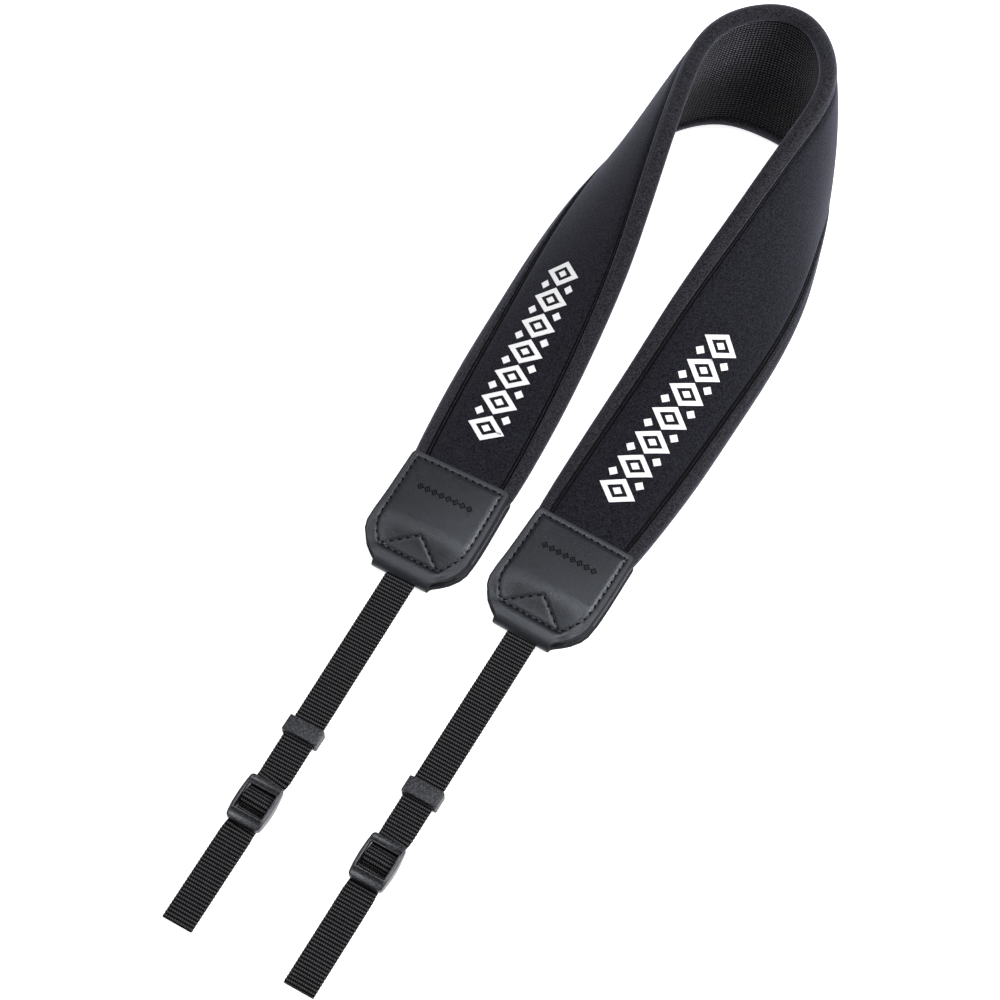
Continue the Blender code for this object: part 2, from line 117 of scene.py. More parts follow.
class Socket:
    """One output socket. Arithmetic on it adds Math nodes to its finish."""

    def __init__(self, finish, output):
        self.finish = finish
        self.output = output

    def maths(self, operation, *values):
        return self.finish.node("ShaderNodeMath", {"operation": operation}, values)

    def __add__(self, other):
        return self.maths("ADD", self, other)

    def __sub__(self, other):
        return self.maths("SUBTRACT", self, other)

    def __rsub__(self, other):
        return self.maths("SUBTRACT", other, self)

    def __mul__(self, other):
        return self.maths("MULTIPLY", self, other)

    def __truediv__(self, other):
        return self.maths("DIVIDE", self, other)

    def __pow__(self, other):
        return self.maths("POWER", self, other)

    __radd__ = __add__

    def sine(self):
        return self.maths("SINE", self)

    def size(self):
        return self.maths("ABSOLUTE", self)

    def fraction(self):
        return self.maths("FRACT", self)

    def whole(self):
        return self.maths("FLOOR", self)

    def step(self, start, end):
        """0 up to start and 1 from end on, with a smooth ramp between them."""
        settings = {"interpolation_type": "SMOOTHSTEP"}
        values = {"Value": self, "From Min": start, "From Max": end}
        return self.finish.node("ShaderNodeMapRange", settings, values)


# %% One finish


class Finish:
    """A material with one Principled shader, whose constants are set by name."""

    def __init__(self, name, **constants):
        self.material = bpy.data.materials.new(name)
        self.material.use_nodes = True
        self.tree = self.material.node_tree
        self.shader = self.tree.nodes["Principled BSDF"]
        for key, value in constants.items():
            socket = self.shader.inputs[key.replace("_", " ").title().replace("Ior", "IOR")]
            socket.default_value = (*value, 1.0) if isinstance(value, tuple) else value
        print("finish:", name)

    def fill(self, socket, value):
        """Links a wrapped socket, or sets a number, colour or vector."""
        if isinstance(value, Socket):
            self.tree.links.new(value.output, socket)
        elif isinstance(value, tuple) and len(socket.default_value) == 4:
            socket.default_value = (*value, 1.0)
        else:
            socket.default_value = value

    def node(self, kind, settings, values=(), output=0):
        """A node of this type: its settings, then its sockets by name or in order."""
        made = self.tree.nodes.new(kind)
        for key, value in settings.items():
            setattr(made, key, value)
        pairs = values.items() if isinstance(values, dict) else enumerate(values)
        for key, value in pairs:
            self.fill(made.inputs[key], value)
        return Socket(self, made.outputs[output])

    def along_and_across(self):
        """The distances in metres along and across the cloth, from its own map."""
        cloth = self.node("ShaderNodeUVMap", {"uv_map": "cloth"})
        split = {"Vector": cloth}
        return (
            self.node("ShaderNodeSeparateXYZ", {}, split, "X"),
            self.node("ShaderNodeSeparateXYZ", {}, split, "Y"),
        )

    def place(self):
        """The point on the piece, in metres."""
        return self.node("ShaderNodeTexCoord", {}, {}, "Object")

    def noise(self, grain, detail=2.0):
        """Soft noise from 0 to 1 with blotches of about this size in metres."""
        values = {"Vector": self.place(), "Scale": 1 / grain, "Detail": detail}
        return self.node("ShaderNodeTexNoise", {}, values, "Fac")

    def mix(self, share, first, second):
        """A blend of two colours."""
        settings = {"data_type": "RGBA"}
        return self.node("ShaderNodeMix", settings, {0: share, 6: first, 7: second}, 2)

    def bump(self, height, depth):
        """Tilts the surface as a height from 0 to 1 would, over this depth in metres."""
        values = {"Height": height, "Distance": depth, "Strength": 1.0}
        self.feed("Normal", self.node("ShaderNodeBump", {}, values))

    def feed(self, name, value):
        """Drives one of the shader's sockets."""
        self.fill(self.shader.inputs[name], value)

    def colour(self, share, first, second):
        """Drives the base colour with a blend of two colours."""
        self.feed("Base Color", self.mix(share, first, second))


# %% [markdown]
# ## Table and light
#
# The photograph has a bright, even white ground, as on a light table: the table glows by
# itself, so that hardly a shadow is left where the strap touches it. The pieces are black,
# so their shape is read from what they mirror. A world of one even brightness would wash
# them out, so it is dim overhead and white only round the horizon, like a studio with
# white walls and a dark ceiling. Soft lamps do the rest. The key lamp stands on the right
# and a little behind. A second one hangs straight overhead, beside where level faces mirror
# the camera's view: faces that lean a little towards the camera catch it, so that the gentle
# crown of the leather shades from dark to light. A weak one fills in from the left.

# %% Table
TABLE_SIZE = 6.0


def written(body, mesh):
    """The mesh with the edited faces written into it."""
    body.to_mesh(mesh)
    body.free()
    return mesh


table_finish = Finish(
    "white_table",
    base_color=(0.85, 0.85, 0.85),
    roughness=0.9,
    emission_color=(1.0, 1.0, 1.0),
    emission_strength=0.86,
)
table_mesh = bpy.data.meshes.new("table")
table_body = bmesh.new()
bmesh.ops.create_grid(table_body, x_segments=1, y_segments=1, size=TABLE_SIZE / 2)
written(table_body, table_mesh)
table_mesh.materials.append(table_finish.material)
table = placed("table", table_mesh)

# %% World
CEILING_LIGHT = 0.16
WALL_LIGHT = 1.0
WALL_HEIGHT = 0.13                # where the walls end: the height of a unit direction

world = bpy.data.worlds.new("white_room")
world.use_nodes = True
sky = world.node_tree
direction = sky.nodes.new("ShaderNodeTexCoord")
upward = sky.nodes.new("ShaderNodeSeparateXYZ")
fade = sky.nodes.new("ShaderNodeMapRange")
fade.interpolation_type = "SMOOTHSTEP"
for name, value in (("From Max", WALL_HEIGHT), ("To Min", WALL_LIGHT), ("To Max", CEILING_LIGHT)):
    fade.inputs[name].default_value = value
sky.links.new(direction.outputs["Generated"], upward.inputs[0])
sky.links.new(upward.outputs["Z"], fade.inputs["Value"])
sky.links.new(fade.outputs["Result"], sky.nodes["Background"].inputs["Strength"])
sky.nodes["Background"].inputs["Color"].default_value = (1.0, 1.0, 1.0, 1.0)
bpy.context.scene.world = world
bpy.context.scene.view_settings.view_transform = "Standard"
print("world: walls at", WALL_LIGHT, "and ceiling at", CEILING_LIGHT)

# %% Lamps
Lamp = namedtuple("Lamp", "name azimuth elevation distance width height power")
LAMPS = [                         # in degrees, metres and watts
    Lamp("key", 105, 46, 1.2, 0.60, 0.60, 15.0),
    Lamp("overhead", 160, 89, 1.3, 0.50, 0.66, 7.6),
    Lamp("fill", -80, 58, 1.3, 0.50, 0.50, 1.8),
]
for lamp in LAMPS:
    away = towards(math.radians(lamp.azimuth), math.radians(lamp.elevation))
    light = bpy.data.lights.new(lamp.name, "AREA")
    light.shape = "RECTANGLE"
    light.size = lamp.width
    light.size_y = lamp.height
    light.energy = lamp.power
    holder = placed(lamp.name, light)
    holder.location = away * lamp.distance
    holder.rotation_euler = (-away).to_track_quat("-Z", "Y").to_euler()
print("lamps:", [lamp.name for lamp in LAMPS])

# %% [markdown]
# ## Helpers for ribbons
#
# Nearly every piece here is a ribbon: a short outline carried along a line. A grid of
# points, one row for each place along the line, makes that shape and keeps the faces in
# neat rows. Each corner also gets a place on a map named `cloth`, in metres along and
# across, so that a weave follows the cloth round its bends.

# %% Lines


def unit(vectors):
    """The vectors at length 1."""
    return vectors / np.linalg.norm(vectors, axis=-1, keepdims=True)


def natural_spline(knots, places):
    """Points at the given places, counted in knots, on the natural cubic through knots."""
    knots = np.asarray(knots, float)
    bends = np.zeros_like(knots)
    inside = len(knots) - 2
    system = 4 * np.eye(inside) + np.eye(inside, k=1) + np.eye(inside, k=-1)
    bends[1:-1] = np.linalg.solve(system, 6 * np.diff(knots, 2, axis=0))
    first = np.clip(np.asarray(places).astype(int), 0, inside)
    after = (places - first)[:, None]
    before = 1 - after
    line = before * knots[first] + after * knots[first + 1]
    curve = (before**3 - before) * bends[first] + (after**3 - after) * bends[first + 1]
    return line + curve / 6


def lengths_along(points):
    """The distance along a line of points, from its first one."""
    steps = np.linalg.norm(np.diff(points, axis=0), axis=1)
    return np.concatenate([[0.0], np.cumsum(steps)])


def sampled(places, known, table):
    """Each column of a table, interpolated at these places between the known ones."""
    return np.stack([np.interp(places, known, column) for column in table.T], axis=-1)


def even_line(points, step):
    """The same line through points an even step apart."""
    reached = lengths_along(points)
    places = np.linspace(0, reached[-1], max(2, round(reached[-1] / step)) + 1)
    return sampled(places, reached, points)


def smooth_step(value):
    """0 below 0 and 1 above 1, with a soft ramp between them."""
    share = np.clip(value, 0, 1)
    return share * share * (3 - 2 * share)


# %% Pieces


def show(name, mesh, finishes, sharp=40):
    """An object with this mesh and these finishes, shaded smooth."""
    mesh.shade_smooth()
    mesh.set_sharp_from_angle(angle=math.radians(sharp))
    for finish in finishes:
        mesh.materials.append(finish.material)
    print(f"{name}: {len(mesh.vertices)} points, {len(mesh.polygons)} faces")
    return placed(name, mesh)


# %% Grids
COINCIDENT = 1e-7                 # points closer than this are one


def face_outward(mesh, weld):
    """Turns all faces of a closed mesh outward. Points that coincide can be joined first."""
    body = bmesh.new()
    body.from_mesh(mesh)
    if weld:
        bmesh.ops.remove_doubles(body, verts=body.verts, dist=COINCIDENT)
    bmesh.ops.recalc_face_normals(body, faces=body.faces)
    return written(body, mesh)


def grid_mesh(name, points, along, across, closed=False, slots=None, weld=False):
    """A mesh from rows of points. A closed one joins each row's ends and caps both rings."""
    rows, columns = points.shape[:2]
    strips = columns if closed else columns - 1
    row = np.arange(rows - 1)[:, None]
    column = np.arange(strips)[None, :]
    following = (column + 1) % columns
    corners = np.stack([
        row * columns + column,
        row * columns + following,
        (row + 1) * columns + following,
        (row + 1) * columns + column,
    ], axis=-1)
    faces = corners.reshape(-1, 4).tolist()
    if closed:
        faces += [list(range(columns))[::-1], list(range((rows - 1) * columns, rows * columns))]
    mesh = bpy.data.meshes.new(name)
    mesh.from_pydata(points.reshape(-1, 3).tolist(), [], faces)
    u = np.broadcast_to(along, (rows, strips + 1))
    v = np.broadcast_to(across, (rows, strips + 1))
    places = np.stack([u, v], axis=-1)
    quads = np.stack([
        places[:-1, :-1],
        places[:-1, 1:],
        places[1:, 1:],
        places[1:, :-1],
    ], axis=2).reshape(-1, 2)
    layer = mesh.uv_layers.new(name="cloth")
    values = np.zeros((len(mesh.loops), 2), np.float32)
    values[: len(quads)] = quads
    layer.data.foreach_set("uv", values.ravel())
    if slots is not None:
        chosen = np.zeros(len(mesh.polygons), np.int32)
        chosen[: (rows - 1) * strips] = np.tile(slots[:strips], rows - 1)
        mesh.polygons.foreach_set("material_index", chosen)
    mesh.validate()
    mesh.update()
    return face_outward(mesh, weld)


# %% [markdown]
# ## The band's path
#
# The band is 35 mm wide at its ends and 51 mm in its bend. It lies printed side up along its
# two legs, and each leg twists until the bend stands on its outer edge. The simplest
# description of such a ribbon is its two long edges: a short table of sections gives the
# centre of each rounded edge, and a smooth curve runs through them. It is the same table
# that the solid under it was made from. At both ends the band runs on between the leather's
# two flaps, so the leather's outline and lie are settled here too.

# %% Sizes of the band and of the leather
PAD_THICKNESS = 5.2 * MM
PAD_SEWN_THICKNESS = 4.4 * MM
GAP = 0.3 * MM                    # between the band and each flap

LEATHER_THICKNESS = 1.0 * MM
LEATHER_LENGTH = 36.9 * MM
LEATHER_HALF_HEIGHT = PAD_SEWN_THICKNESS / 2 + GAP + LEATHER_THICKNESS
FOLD_RADIUS = 2.6 * MM            # half the height of the fold
FOLD_REACH = 4.9 * MM             # how far the leather rolls over before its tip
FOLD_START = LEATHER_LENGTH - FOLD_REACH
FLAP_SLOPE_START = 20.0 * MM      # from there on the flaps slope to the fold's height
LEAN = 0.8 * MM                   # how far both ends lean to -X, most at this distance
LEAN_AT = 30.0 * MM
LEAN_REACH = 8.0 * MM
PAD_END = 23.5 * MM               # how far the band runs into the leather
PAD_INSET = 0.2 * MM              # from the leather's edge in to the band's
PAD_PROUD = 0.6 * MM              # from the leather's edge out to the band's, outside it
FLAP_CORNER = 2.0 * MM            # past this the rounding of its upper corners is over
PAD_SEWN_AT = (-FLAP_CORNER, 3.0 * MM, 10.0 * MM, PAD_END)
print("leather ends, length and height in mm:", in_mm(LEATHER_LENGTH, 2 * LEATHER_HALF_HEIGHT))

# %% Where both sides lie
# The middle of each leather end's upper edge, how far it turns inwards towards the fold,
# and how far its inner edge is raised there. Then the middle of the webbing, seen from
# above: inside the fold, above the buckle, in the buckle and in the free end.
Side = namedtuple(
    "Side",
    "name sign leather_x leather_y leather_yaw leather_tilt "
    "start_x above_x buckle_x tail_x end_y keeper_y buckle_y",
)
LEFT = Side(
    "left", -1, 0.0202, -0.0054, math.radians(0.8), math.radians(3.5),
    -0.0197, -0.0185, -0.0190, -0.0194, -0.1606, -0.0963, -0.1211,
)
RIGHT = Side(
    "right", 1, 0.0203, -0.0041, math.radians(1.4), math.radians(0.0),
    0.0197, 0.0194, 0.0190, 0.0188, -0.1599, -0.0954, -0.1191,
)
SIDES = [LEFT, RIGHT]
print("keepers at:", [side.keeper_y for side in SIDES])

# %% Sections of the band
Section = namedtuple("Section", "inner_x inner_y inner_z outer_x outer_y outer_z")
BAND_SECTIONS = [                 # from the middle of the bend down the leg at +X
    Section(0.0000, 0.1580, 0.0476, 0.0000, 0.1470, 0.0026),
    Section(0.0114, 0.1524, 0.0484, 0.0151, 0.1434, 0.0038),
    Section(0.0192, 0.1382, 0.0486, 0.0267, 0.1299, 0.0066),
    Section(0.0181, 0.1177, 0.0440, 0.0329, 0.1130, 0.0074),
    Section(0.0142, 0.0940, 0.0329, 0.0371, 0.0950, 0.0049),
    Section(0.0104, 0.0702, 0.0216, 0.0387, 0.0725, 0.0031),
    Section(0.0083, 0.0463, 0.0125, 0.0382, 0.0471, 0.0029),
    Section(0.0068, 0.0216, 0.0070, 0.0370, 0.0208, 0.0030),
]
print("sections of the band:", 2 * len(BAND_SECTIONS) - 1)

# %% The leather's outline
# Half of the leather's width at distances from its upper edge. Past the last row it keeps
# that width round the fold.
LeatherWidth = namedtuple("LeatherWidth", "along half_width")
LEATHER_OUTLINE = [
    LeatherWidth(0.0000, 0.0154),
    LeatherWidth(0.0005, 0.0159),
    LeatherWidth(0.0016, 0.0162),
    LeatherWidth(0.0120, 0.0164),
    LeatherWidth(0.0220, 0.0166),
    LeatherWidth(0.0260, 0.0165),
    LeatherWidth(0.0285, 0.0157),
    LeatherWidth(0.0310, 0.0139),
    LeatherWidth(0.0330, 0.0118),
    LeatherWidth(0.0345, 0.0100),
    LeatherWidth(0.0355, 0.0093),
]


def leather_half_width(along):
    """Half of the leather's width at a distance from its upper edge."""
    rows = LEATHER_OUTLINE
    return np.interp(along, [row.along for row in rows], [row.half_width for row in rows])


print("widest in mm:", in_mm(2 * max(row.half_width for row in LEATHER_OUTLINE)))

# %% Where the leather lies


def leather_half_height(along):
    """Half of the leather end's height where nothing pulls the flaps together."""
    share = smooth_step((along - FLAP_SLOPE_START) / (FOLD_START - FLAP_SLOPE_START))
    return LEATHER_HALF_HEIGHT + (FOLD_RADIUS - LEATHER_HALF_HEIGHT) * share


def leather_point(side, along, across, height):
    """Points at distances along, across towards the inner edge, and above the middle."""
    flat_along = np.minimum(along, FOLD_START)
    tilt = side.leather_tilt * np.clip(1 - along / FOLD_START, 0, 1)
    level = leather_half_height(flat_along)
    level = level + leather_half_width(flat_along) * np.sin(np.abs(tilt))
    sideways = across * np.cos(tilt) - height * np.sin(tilt)
    yaw = side.leather_yaw
    x = side.leather_x - along * math.sin(yaw) - sideways * math.cos(yaw)
    y = side.leather_y - along * math.cos(yaw) + sideways * math.sin(yaw)
    z = level + across * np.sin(tilt) + height * np.cos(tilt)
    lean = LEAN * np.exp(-(((along - LEAN_AT) / LEAN_REACH) ** 2))
    return np.stack(np.broadcast_arrays(side.sign * x - lean, y, z), axis=-1)


# %% Sections of each leg


def sewn_section(side, along):
    """The band's section between the leather flaps, inside the leather's outline."""
    edge = -PAD_PROUD if along < 0 else PAD_INSET
    half = leather_half_width(max(along, FLAP_CORNER)) - edge - PAD_SEWN_THICKNESS / 2
    inner = leather_point(side, along, half, 0.0)
    outer = leather_point(side, along, -half, 0.0)
    return [*inner, *outer, PAD_SEWN_THICKNESS]


def leg_sections(side):
    """The sections of one leg, from beside the bend's middle to its sewn end."""
    free = []
    for row in BAND_SECTIONS[1:]:
        inner = (side.sign * row.inner_x, row.inner_y, row.inner_z)
        outer = (side.sign * row.outer_x, row.outer_y, row.outer_z)
        free.append([*inner, *outer, PAD_THICKNESS])
    return free + [sewn_section(side, along) for along in PAD_SEWN_AT]


# %% Rows of the band
BAND_ROWS = 420

bend_middle = [[*BAND_SECTIONS[0], PAD_THICKNESS]]
knots = np.array(leg_sections(LEFT)[::-1] + bend_middle + leg_sections(RIGHT))
rows = natural_spline(knots, np.linspace(0, len(knots) - 1, BAND_ROWS + 1))

band_inner, band_outer, band_thickness = rows[:, 0:3], rows[:, 3:6], rows[:, 6]
band_middle = (band_inner + band_outer) / 2
band_across = unit(band_inner - band_outer)
band_front = unit(np.cross(band_across, np.gradient(band_middle, axis=0)))
band_half = np.linalg.norm(band_inner - band_outer, axis=1) / 2
band_along = lengths_along(band_middle)
print("band length in mm, along its middle:", in_mm(band_along[-1]))

# %% [markdown]
# ## The padded band
#
# The pad is neoprene foam between two knitted faces. Two close rows of stitching press
# channels into its front, one along each edge, and the foam swells between them. A cloth
# simulation could puff it up, but the foam is firm and keeps the same section all along,
# so the section is drawn once, as heights above a flat strip, and carried along the band.
# On the back, the border is a soft rim round a shallow recess for the mesh.

# %% Sizes of the pad's section
FRONT_SEAM = 2.2 * MM             # from the centre of the rounded edge to the seam
SEAM_HALF = 0.85 * MM
THREAD_LINE = 0.42 * MM           # each row of stitches, from the seam's middle
THREAD_DEPTH = 0.50 * MM
THREAD_HALF = 0.26 * MM           # half the strip that shows thread
THREAD_GROOVE = 0.2 * MM          # how wide the groove of each row is
SEAM_SUNK = 0.06 * MM             # the whole seam, under the face
PANEL_CROWN = 1.19 * MM           # of the front panel, at its middle
PANEL_SHOULDER = 0.35 * MM        # how far the foam rises beside the seam
SHOULDER_REACH = 0.7 * MM         # and over which distance
BORDER_SWELL = 0.18 * MM
BACK_SEAM = 1.2 * MM              # from the centre of the rounded edge to the recess
LINING_RECESS = 1.4 * MM
RIM_ROLL = 0.7 * MM               # radius of the soft rim round the recess
RIM_FLATNESS = 0.8                # its height, as a share of its width
ROLL_STEPS = 5
EDGE_STEPS = 12
BORDER_STEPS = 7
SEAM_STEPS = 10
PANEL_STEPS = 30

# %% Heights across the pad


def swell_of(thickness):
    """1 where the band is free and 0 where the leather squeezes it."""
    return np.clip((thickness - PAD_SEWN_THICKNESS) / (PAD_THICKNESS - PAD_SEWN_THICKNESS), 0, 1)


def panel_height(share, half, thickness):
    """Height of the front panel over the pad's middle, at a share of its half width."""
    panel = half - FRONT_SEAM - SEAM_HALF
    inward = (1 - np.abs(share)) * panel
    crown = PANEL_CROWN * (1 - share * share) * swell_of(thickness)
    return thickness / 2 + crown + PANEL_SHOULDER * (1 - np.exp(-inward / SHOULDER_REACH))


def seam_height(offset):
    """Depth of the two rows of stitches beside the seam's middle."""
    groove = np.exp(-(((np.abs(offset) - THREAD_LINE) / THREAD_GROOVE) ** 2))
    return -THREAD_DEPTH * groove - SEAM_SUNK


def seam_slot(offset):
    """Which finish lies there: thread 2 in both grooves, panel 1 inside, border 0 outside."""
    if abs(abs(offset) - THREAD_LINE) < THREAD_HALF:
        return 2
    return int(offset > 0)


# %% Section of the pad


def edge_arc(centre, radius, start):
    """Half a turn of points clockwise round a long edge, from a starting angle."""
    turns = start - np.pi * np.linspace(0, 1, EDGE_STEPS + 1)
    return [(centre + radius * math.cos(a), radius * math.sin(a)) for a in turns]


def pad_section(half, thickness):
    """Points (across, front, finish) round the pad."""
    face = thickness / 2
    seam = half - FRONT_SEAM
    points = [(a, f, 0) for a, f in edge_arc(-half, face, -math.pi / 2)]
    border = np.linspace(0, 1, BORDER_STEPS + 1)[1:-1]
    outer_border = -half + (FRONT_SEAM - SEAM_HALF) * border
    swell = BORDER_SWELL * np.sin(np.pi * border)
    points += [(a, face + s, 0) for a, s in zip(outer_border, swell)]
    offsets = np.linspace(-SEAM_HALF, SEAM_HALF, SEAM_STEPS + 1)
    points += [(-seam + d, face + seam_height(d), seam_slot(d)) for d in offsets]
    shares = np.linspace(-1, 1, PANEL_STEPS + 1)[1:-1]
    panel = seam - SEAM_HALF
    points += [(c * panel, panel_height(c, half, thickness), 1) for c in shares]
    points += [(seam + d, face + seam_height(d), seam_slot(-d)) for d in offsets]
    points += [(-a, face + s, 0) for a, s in zip(outer_border[::-1], swell)]
    points += [(a, f, 0) for a, f in edge_arc(half, face, math.pi / 2)]
    rim = half - BACK_SEAM
    roll = np.linspace(0, np.pi / 2, ROLL_STEPS + 1)
    inner_roll = [
        (rim + RIM_ROLL * (1 - math.sin(a)), RIM_FLATNESS * RIM_ROLL * (1 - math.cos(a)) - face)
        for a in roll
    ]
    points += [(a, f, 0) for a, f in inner_roll]
    points += [(a, LINING_RECESS - face, 0) for a in (rim, 0, -rim)]
    points += [(-a, f, 0) for a, f in inner_roll[::-1]]
    return points


# %% Carry the section along the band
pad_points, pad_across = [], []
for i in range(BAND_ROWS + 1):
    section = np.array(pad_section(band_half[i], band_thickness[i]))
    a, f = section[:, 0], section[:, 1]
    pad_points.append(band_middle[i] + band_across[i] * a[:, None] + band_front[i] * f[:, None])
    pad_across.append(np.append(a, a[0]))
pad_slots = section[:, 2].astype(int)
print("points round the pad:", len(section))

# %% [markdown]
# Neoprene is faced with a fine knit. It is matt, nearly black, and a little blue on the
# front panel. Knit has a soft glow at shallow angles, which the sheen gives. A fine noise
# stands for the loops, which are too small to see one by one.

# %% Neoprene finishes
KNIT_LOOP = 0.45 * MM
KNIT_PATCH = 9.0 * MM             # size of its slightly lighter patches


def neoprene(name, dark, light, glow):
    """A matt knit between two colours, with this much sheen."""
    finish = Finish(
        name,
        roughness=0.9,
        sheen_weight=glow,
        sheen_roughness=0.45,
        sheen_tint=(0.72, 0.75, 0.95),
        specular_ior_level=0.10,
    )
    loops = finish.noise(KNIT_LOOP)
    patches = finish.noise(KNIT_PATCH, detail=3.0)
    lit = loops.step(0.33, 0.67) * 0.85 + patches * 0.15
    finish.colour(lit, dark, light)
    finish.bump(loops, depth=0.16 * MM)
    return finish


border_neoprene = neoprene("neoprene_border", (0.003, 0.003, 0.004), (0.031, 0.031, 0.037), 0.36)
panel_neoprene = neoprene("neoprene_panel", (0.001, 0.001, 0.002), (0.018, 0.018, 0.025), 0.19)

thread = Finish(
    "black_thread",
    base_color=(0.002, 0.002, 0.003),
    roughness=0.7,
    specular_ior_level=0.08,
)
TWIST = 0.3 * MM
thread.bump(thread.noise(TWIST, detail=1.0), depth=0.05 * MM)

# %% Build the pad
pad_mesh = grid_mesh(
    "padded_band",
    np.array(pad_points),
    band_along[:, None],
    np.array(pad_across),
    closed=True,
    slots=pad_slots,
)
pad = show("padded_band", pad_mesh, [border_neoprene, panel_neoprene, thread], sharp=70)
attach(pad, "strap")
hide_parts("neck_pad")

# %% [markdown]
# ## The mesh on the back
#
# The side that lies against the neck is an open knitted mesh. Thousands of real holes would
# only blur at this distance, so the mesh is one thin sheet in the recess, and its holes are
# drawn by the finish: rows of small raised threads on a ground that stays dark. The threads'
# pale colour is a painted highlight. Where the band bends most, and towards its outer edge,
# the inside of the U lies in shade, so the mesh is painted darker there and its threads
# hardly show: painted shade. Along the rest of the upper edge its threads show in full.

# %% Mesh finish
MESH_ALONG = 1.20 * MM            # from one raised thread to the next
MESH_ACROSS = 0.95 * MM           # from one row to the next
LOOP_LONG = (0.30 * MM, 0.52 * MM)      # half a raised thread: where it starts to fade, and ends
LOOP_WIDE = (0.12 * MM, 0.32 * MM)
LOOP_PATCH = 1.6 * MM
SHADE_FADES_ALONG = (3.0 * MM, 20.0 * MM)     # from the bend's middle
SHADE_FADES_ACROSS = (-10.0 * MM, 9.0 * MM)   # from the lining's middle
DARK_MESH = (0.0010, 0.0010, 0.0024)
MESH_THREAD_HIGHLIGHT = (0.150, 0.150, 0.180)

mesh_finish = Finish("open_mesh", specular_ior_level=0.12, sheen_weight=0.10, sheen_roughness=0.35)
along, across = mesh_finish.along_and_across()
row = across / MESH_ACROSS
from_row = (row.fraction() - 0.5).size() * MESH_ACROSS
from_middle = ((along / MESH_ALONG).fraction() - 0.5).size() * MESH_ALONG
raised = (1 - from_middle.step(*LOOP_LONG)) * (1 - from_row.step(*LOOP_WIDE))
uneven = mesh_finish.noise(LOOP_PATCH)
# Painted shade: darker at the middle of the bend and towards the lower, outer edge, where the
# inside of the U lies in shade.
clear_of_bend_shade = (along - float(band_along[-1]) / 2).size().step(*SHADE_FADES_ALONG)
painted_shade_factor = (clear_of_bend_shade * 0.7 + 0.3) * (across.step(*SHADE_FADES_ACROSS) * 0.8 + 0.2)
# Painted highlight: the raised threads are painted pale, as where they catch the light.
lit = raised * (uneven * 0.9 + 0.55) * painted_shade_factor
mesh_finish.colour(lit, DARK_MESH, MESH_THREAD_HIGHLIGHT)
mesh_finish.feed("Roughness", 0.95 - raised * 0.55)
mesh_finish.bump(raised, depth=0.35 * MM)

# %% Build the mesh lining
LINING_THICKNESS = 0.4 * MM
LINING_DEPTH = 0.85 * MM          # its face, below the back of the border
LINING_SHORT = 14                 # rows of the band that it stops before each end
LINING_STEPS = 24
LINING_CLEAR = 0.1 * MM           # from its edge to the seam

lining_rows = slice(LINING_SHORT, BAND_ROWS + 1 - LINING_SHORT)
shares = np.linspace(1, -1, LINING_STEPS + 1)
reach = (band_half - BACK_SEAM - LINING_CLEAR)[lining_rows, None]
outside = (LINING_DEPTH - band_thickness / 2)[lining_rows, None] + 0 * shares
inside = outside + LINING_THICKNESS
a = np.concatenate([reach * shares, -reach * shares], axis=1)
f = np.concatenate([inside, outside], axis=1)
lining_points = (
    band_middle[lining_rows, None]
    + band_across[lining_rows, None] * a[..., None]
    + band_front[lining_rows, None] * f[..., None]
)
lining_mesh = grid_mesh(
    "mesh_cloth",
    lining_points,
    band_along[lining_rows, None],
    np.concatenate([a, a[:, :1]], axis=1),
    closed=True,
)
lining = show("mesh_cloth", lining_mesh, [mesh_finish])
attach(lining, "strap")
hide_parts("mesh_lining")

# %% [markdown]
# ## The white print
#
# A band of thick white ink runs along each leg. Ink could be painted by the finish, but a
# film of its own keeps crisp edges at any distance and has a thickness that catches light.
# The pattern is a plain geometric one: rings in the shape of a lozenge, each round a small
# solid one, and smaller ones in the notches between them. Each shape is laid out flat and
# then mapped on to the front panel.

# %% Where a flat point lies on the front panel


def leather_edge_along(side):
    """The distance along the band of a leather's upper edge."""
    off = band_middle - leather_point(side, 0.0, 0.0, 0.0)
    return band_along[int(np.argmin(np.linalg.norm(off, axis=1)))]


def on_panel(side, ahead, across, lift):
    """Points this far up a leg from the leather, across the panel, and above its cloth."""
    along = leather_edge_along(side) - side.sign * ahead
    rows = np.arange(BAND_ROWS + 1)
    index = np.interp(along, band_along, rows)

    def at(values):
        return sampled(index, rows, values.reshape(len(rows), -1))

    half, thickness = at(band_half)[..., 0], at(band_thickness)[..., 0]
    share = across / (half - FRONT_SEAM - SEAM_HALF)
    height = panel_height(share, half, thickness) + lift
    front = unit(at(band_front))
    sideways = unit(at(band_across))
    return at(band_middle) + sideways * across[..., None] + front * height[..., None]


# %% Ink
PRINT_START = 11.0 * MM           # from the leather's edge
PRINT_LENGTH = 64.0 * MM
PRINT_HALF_WIDTH = 6.0 * MM
LOZENGES = 7
RING_HALF = 0.47                  # of a ring, as a share of the pitch between rings
RING_BAND = 0.42                  # its width, as a share of its half width
CORE_HALF = 0.14                  # of the lozenge inside it, along and across
CORE_HALF_WIDE = 0.27
WING_HALF = 0.17                  # of the small ones in the notches
WING_HALF_WIDE = 0.26
WING_PLACE = 0.74                 # and how far to the side they are
INK_THICKNESS = 0.12 * MM
INK_SUNK = 0.05 * MM              # how much of it is under the cloth's face
SPECKLE = 0.35 * MM

ink = Finish("white_ink", roughness=0.55, specular_ior_level=0.4)
speckle = ink.noise(SPECKLE)
ink.colour(speckle, (0.74, 0.74, 0.76), (0.84, 0.84, 0.85))
ink.bump(speckle, depth=0.02 * MM)

# %% Lozenges laid out flat


def lozenge_ring(centre, long_half, wide_half, band_share):
    """Four quads (ahead, across) between a lozenge and a smaller one inside it."""
    tips = np.array([(long_half, 0), (0, wide_half), (-long_half, 0), (0, -wide_half)])
    middle = np.array([centre, 0.0])
    quads = []
    for one, two in zip(tips, np.roll(tips, -1, axis=0)):
        inner = 1 - band_share
        quads.append(np.array([one, two, two * inner, one * inner]) + middle)
    return quads


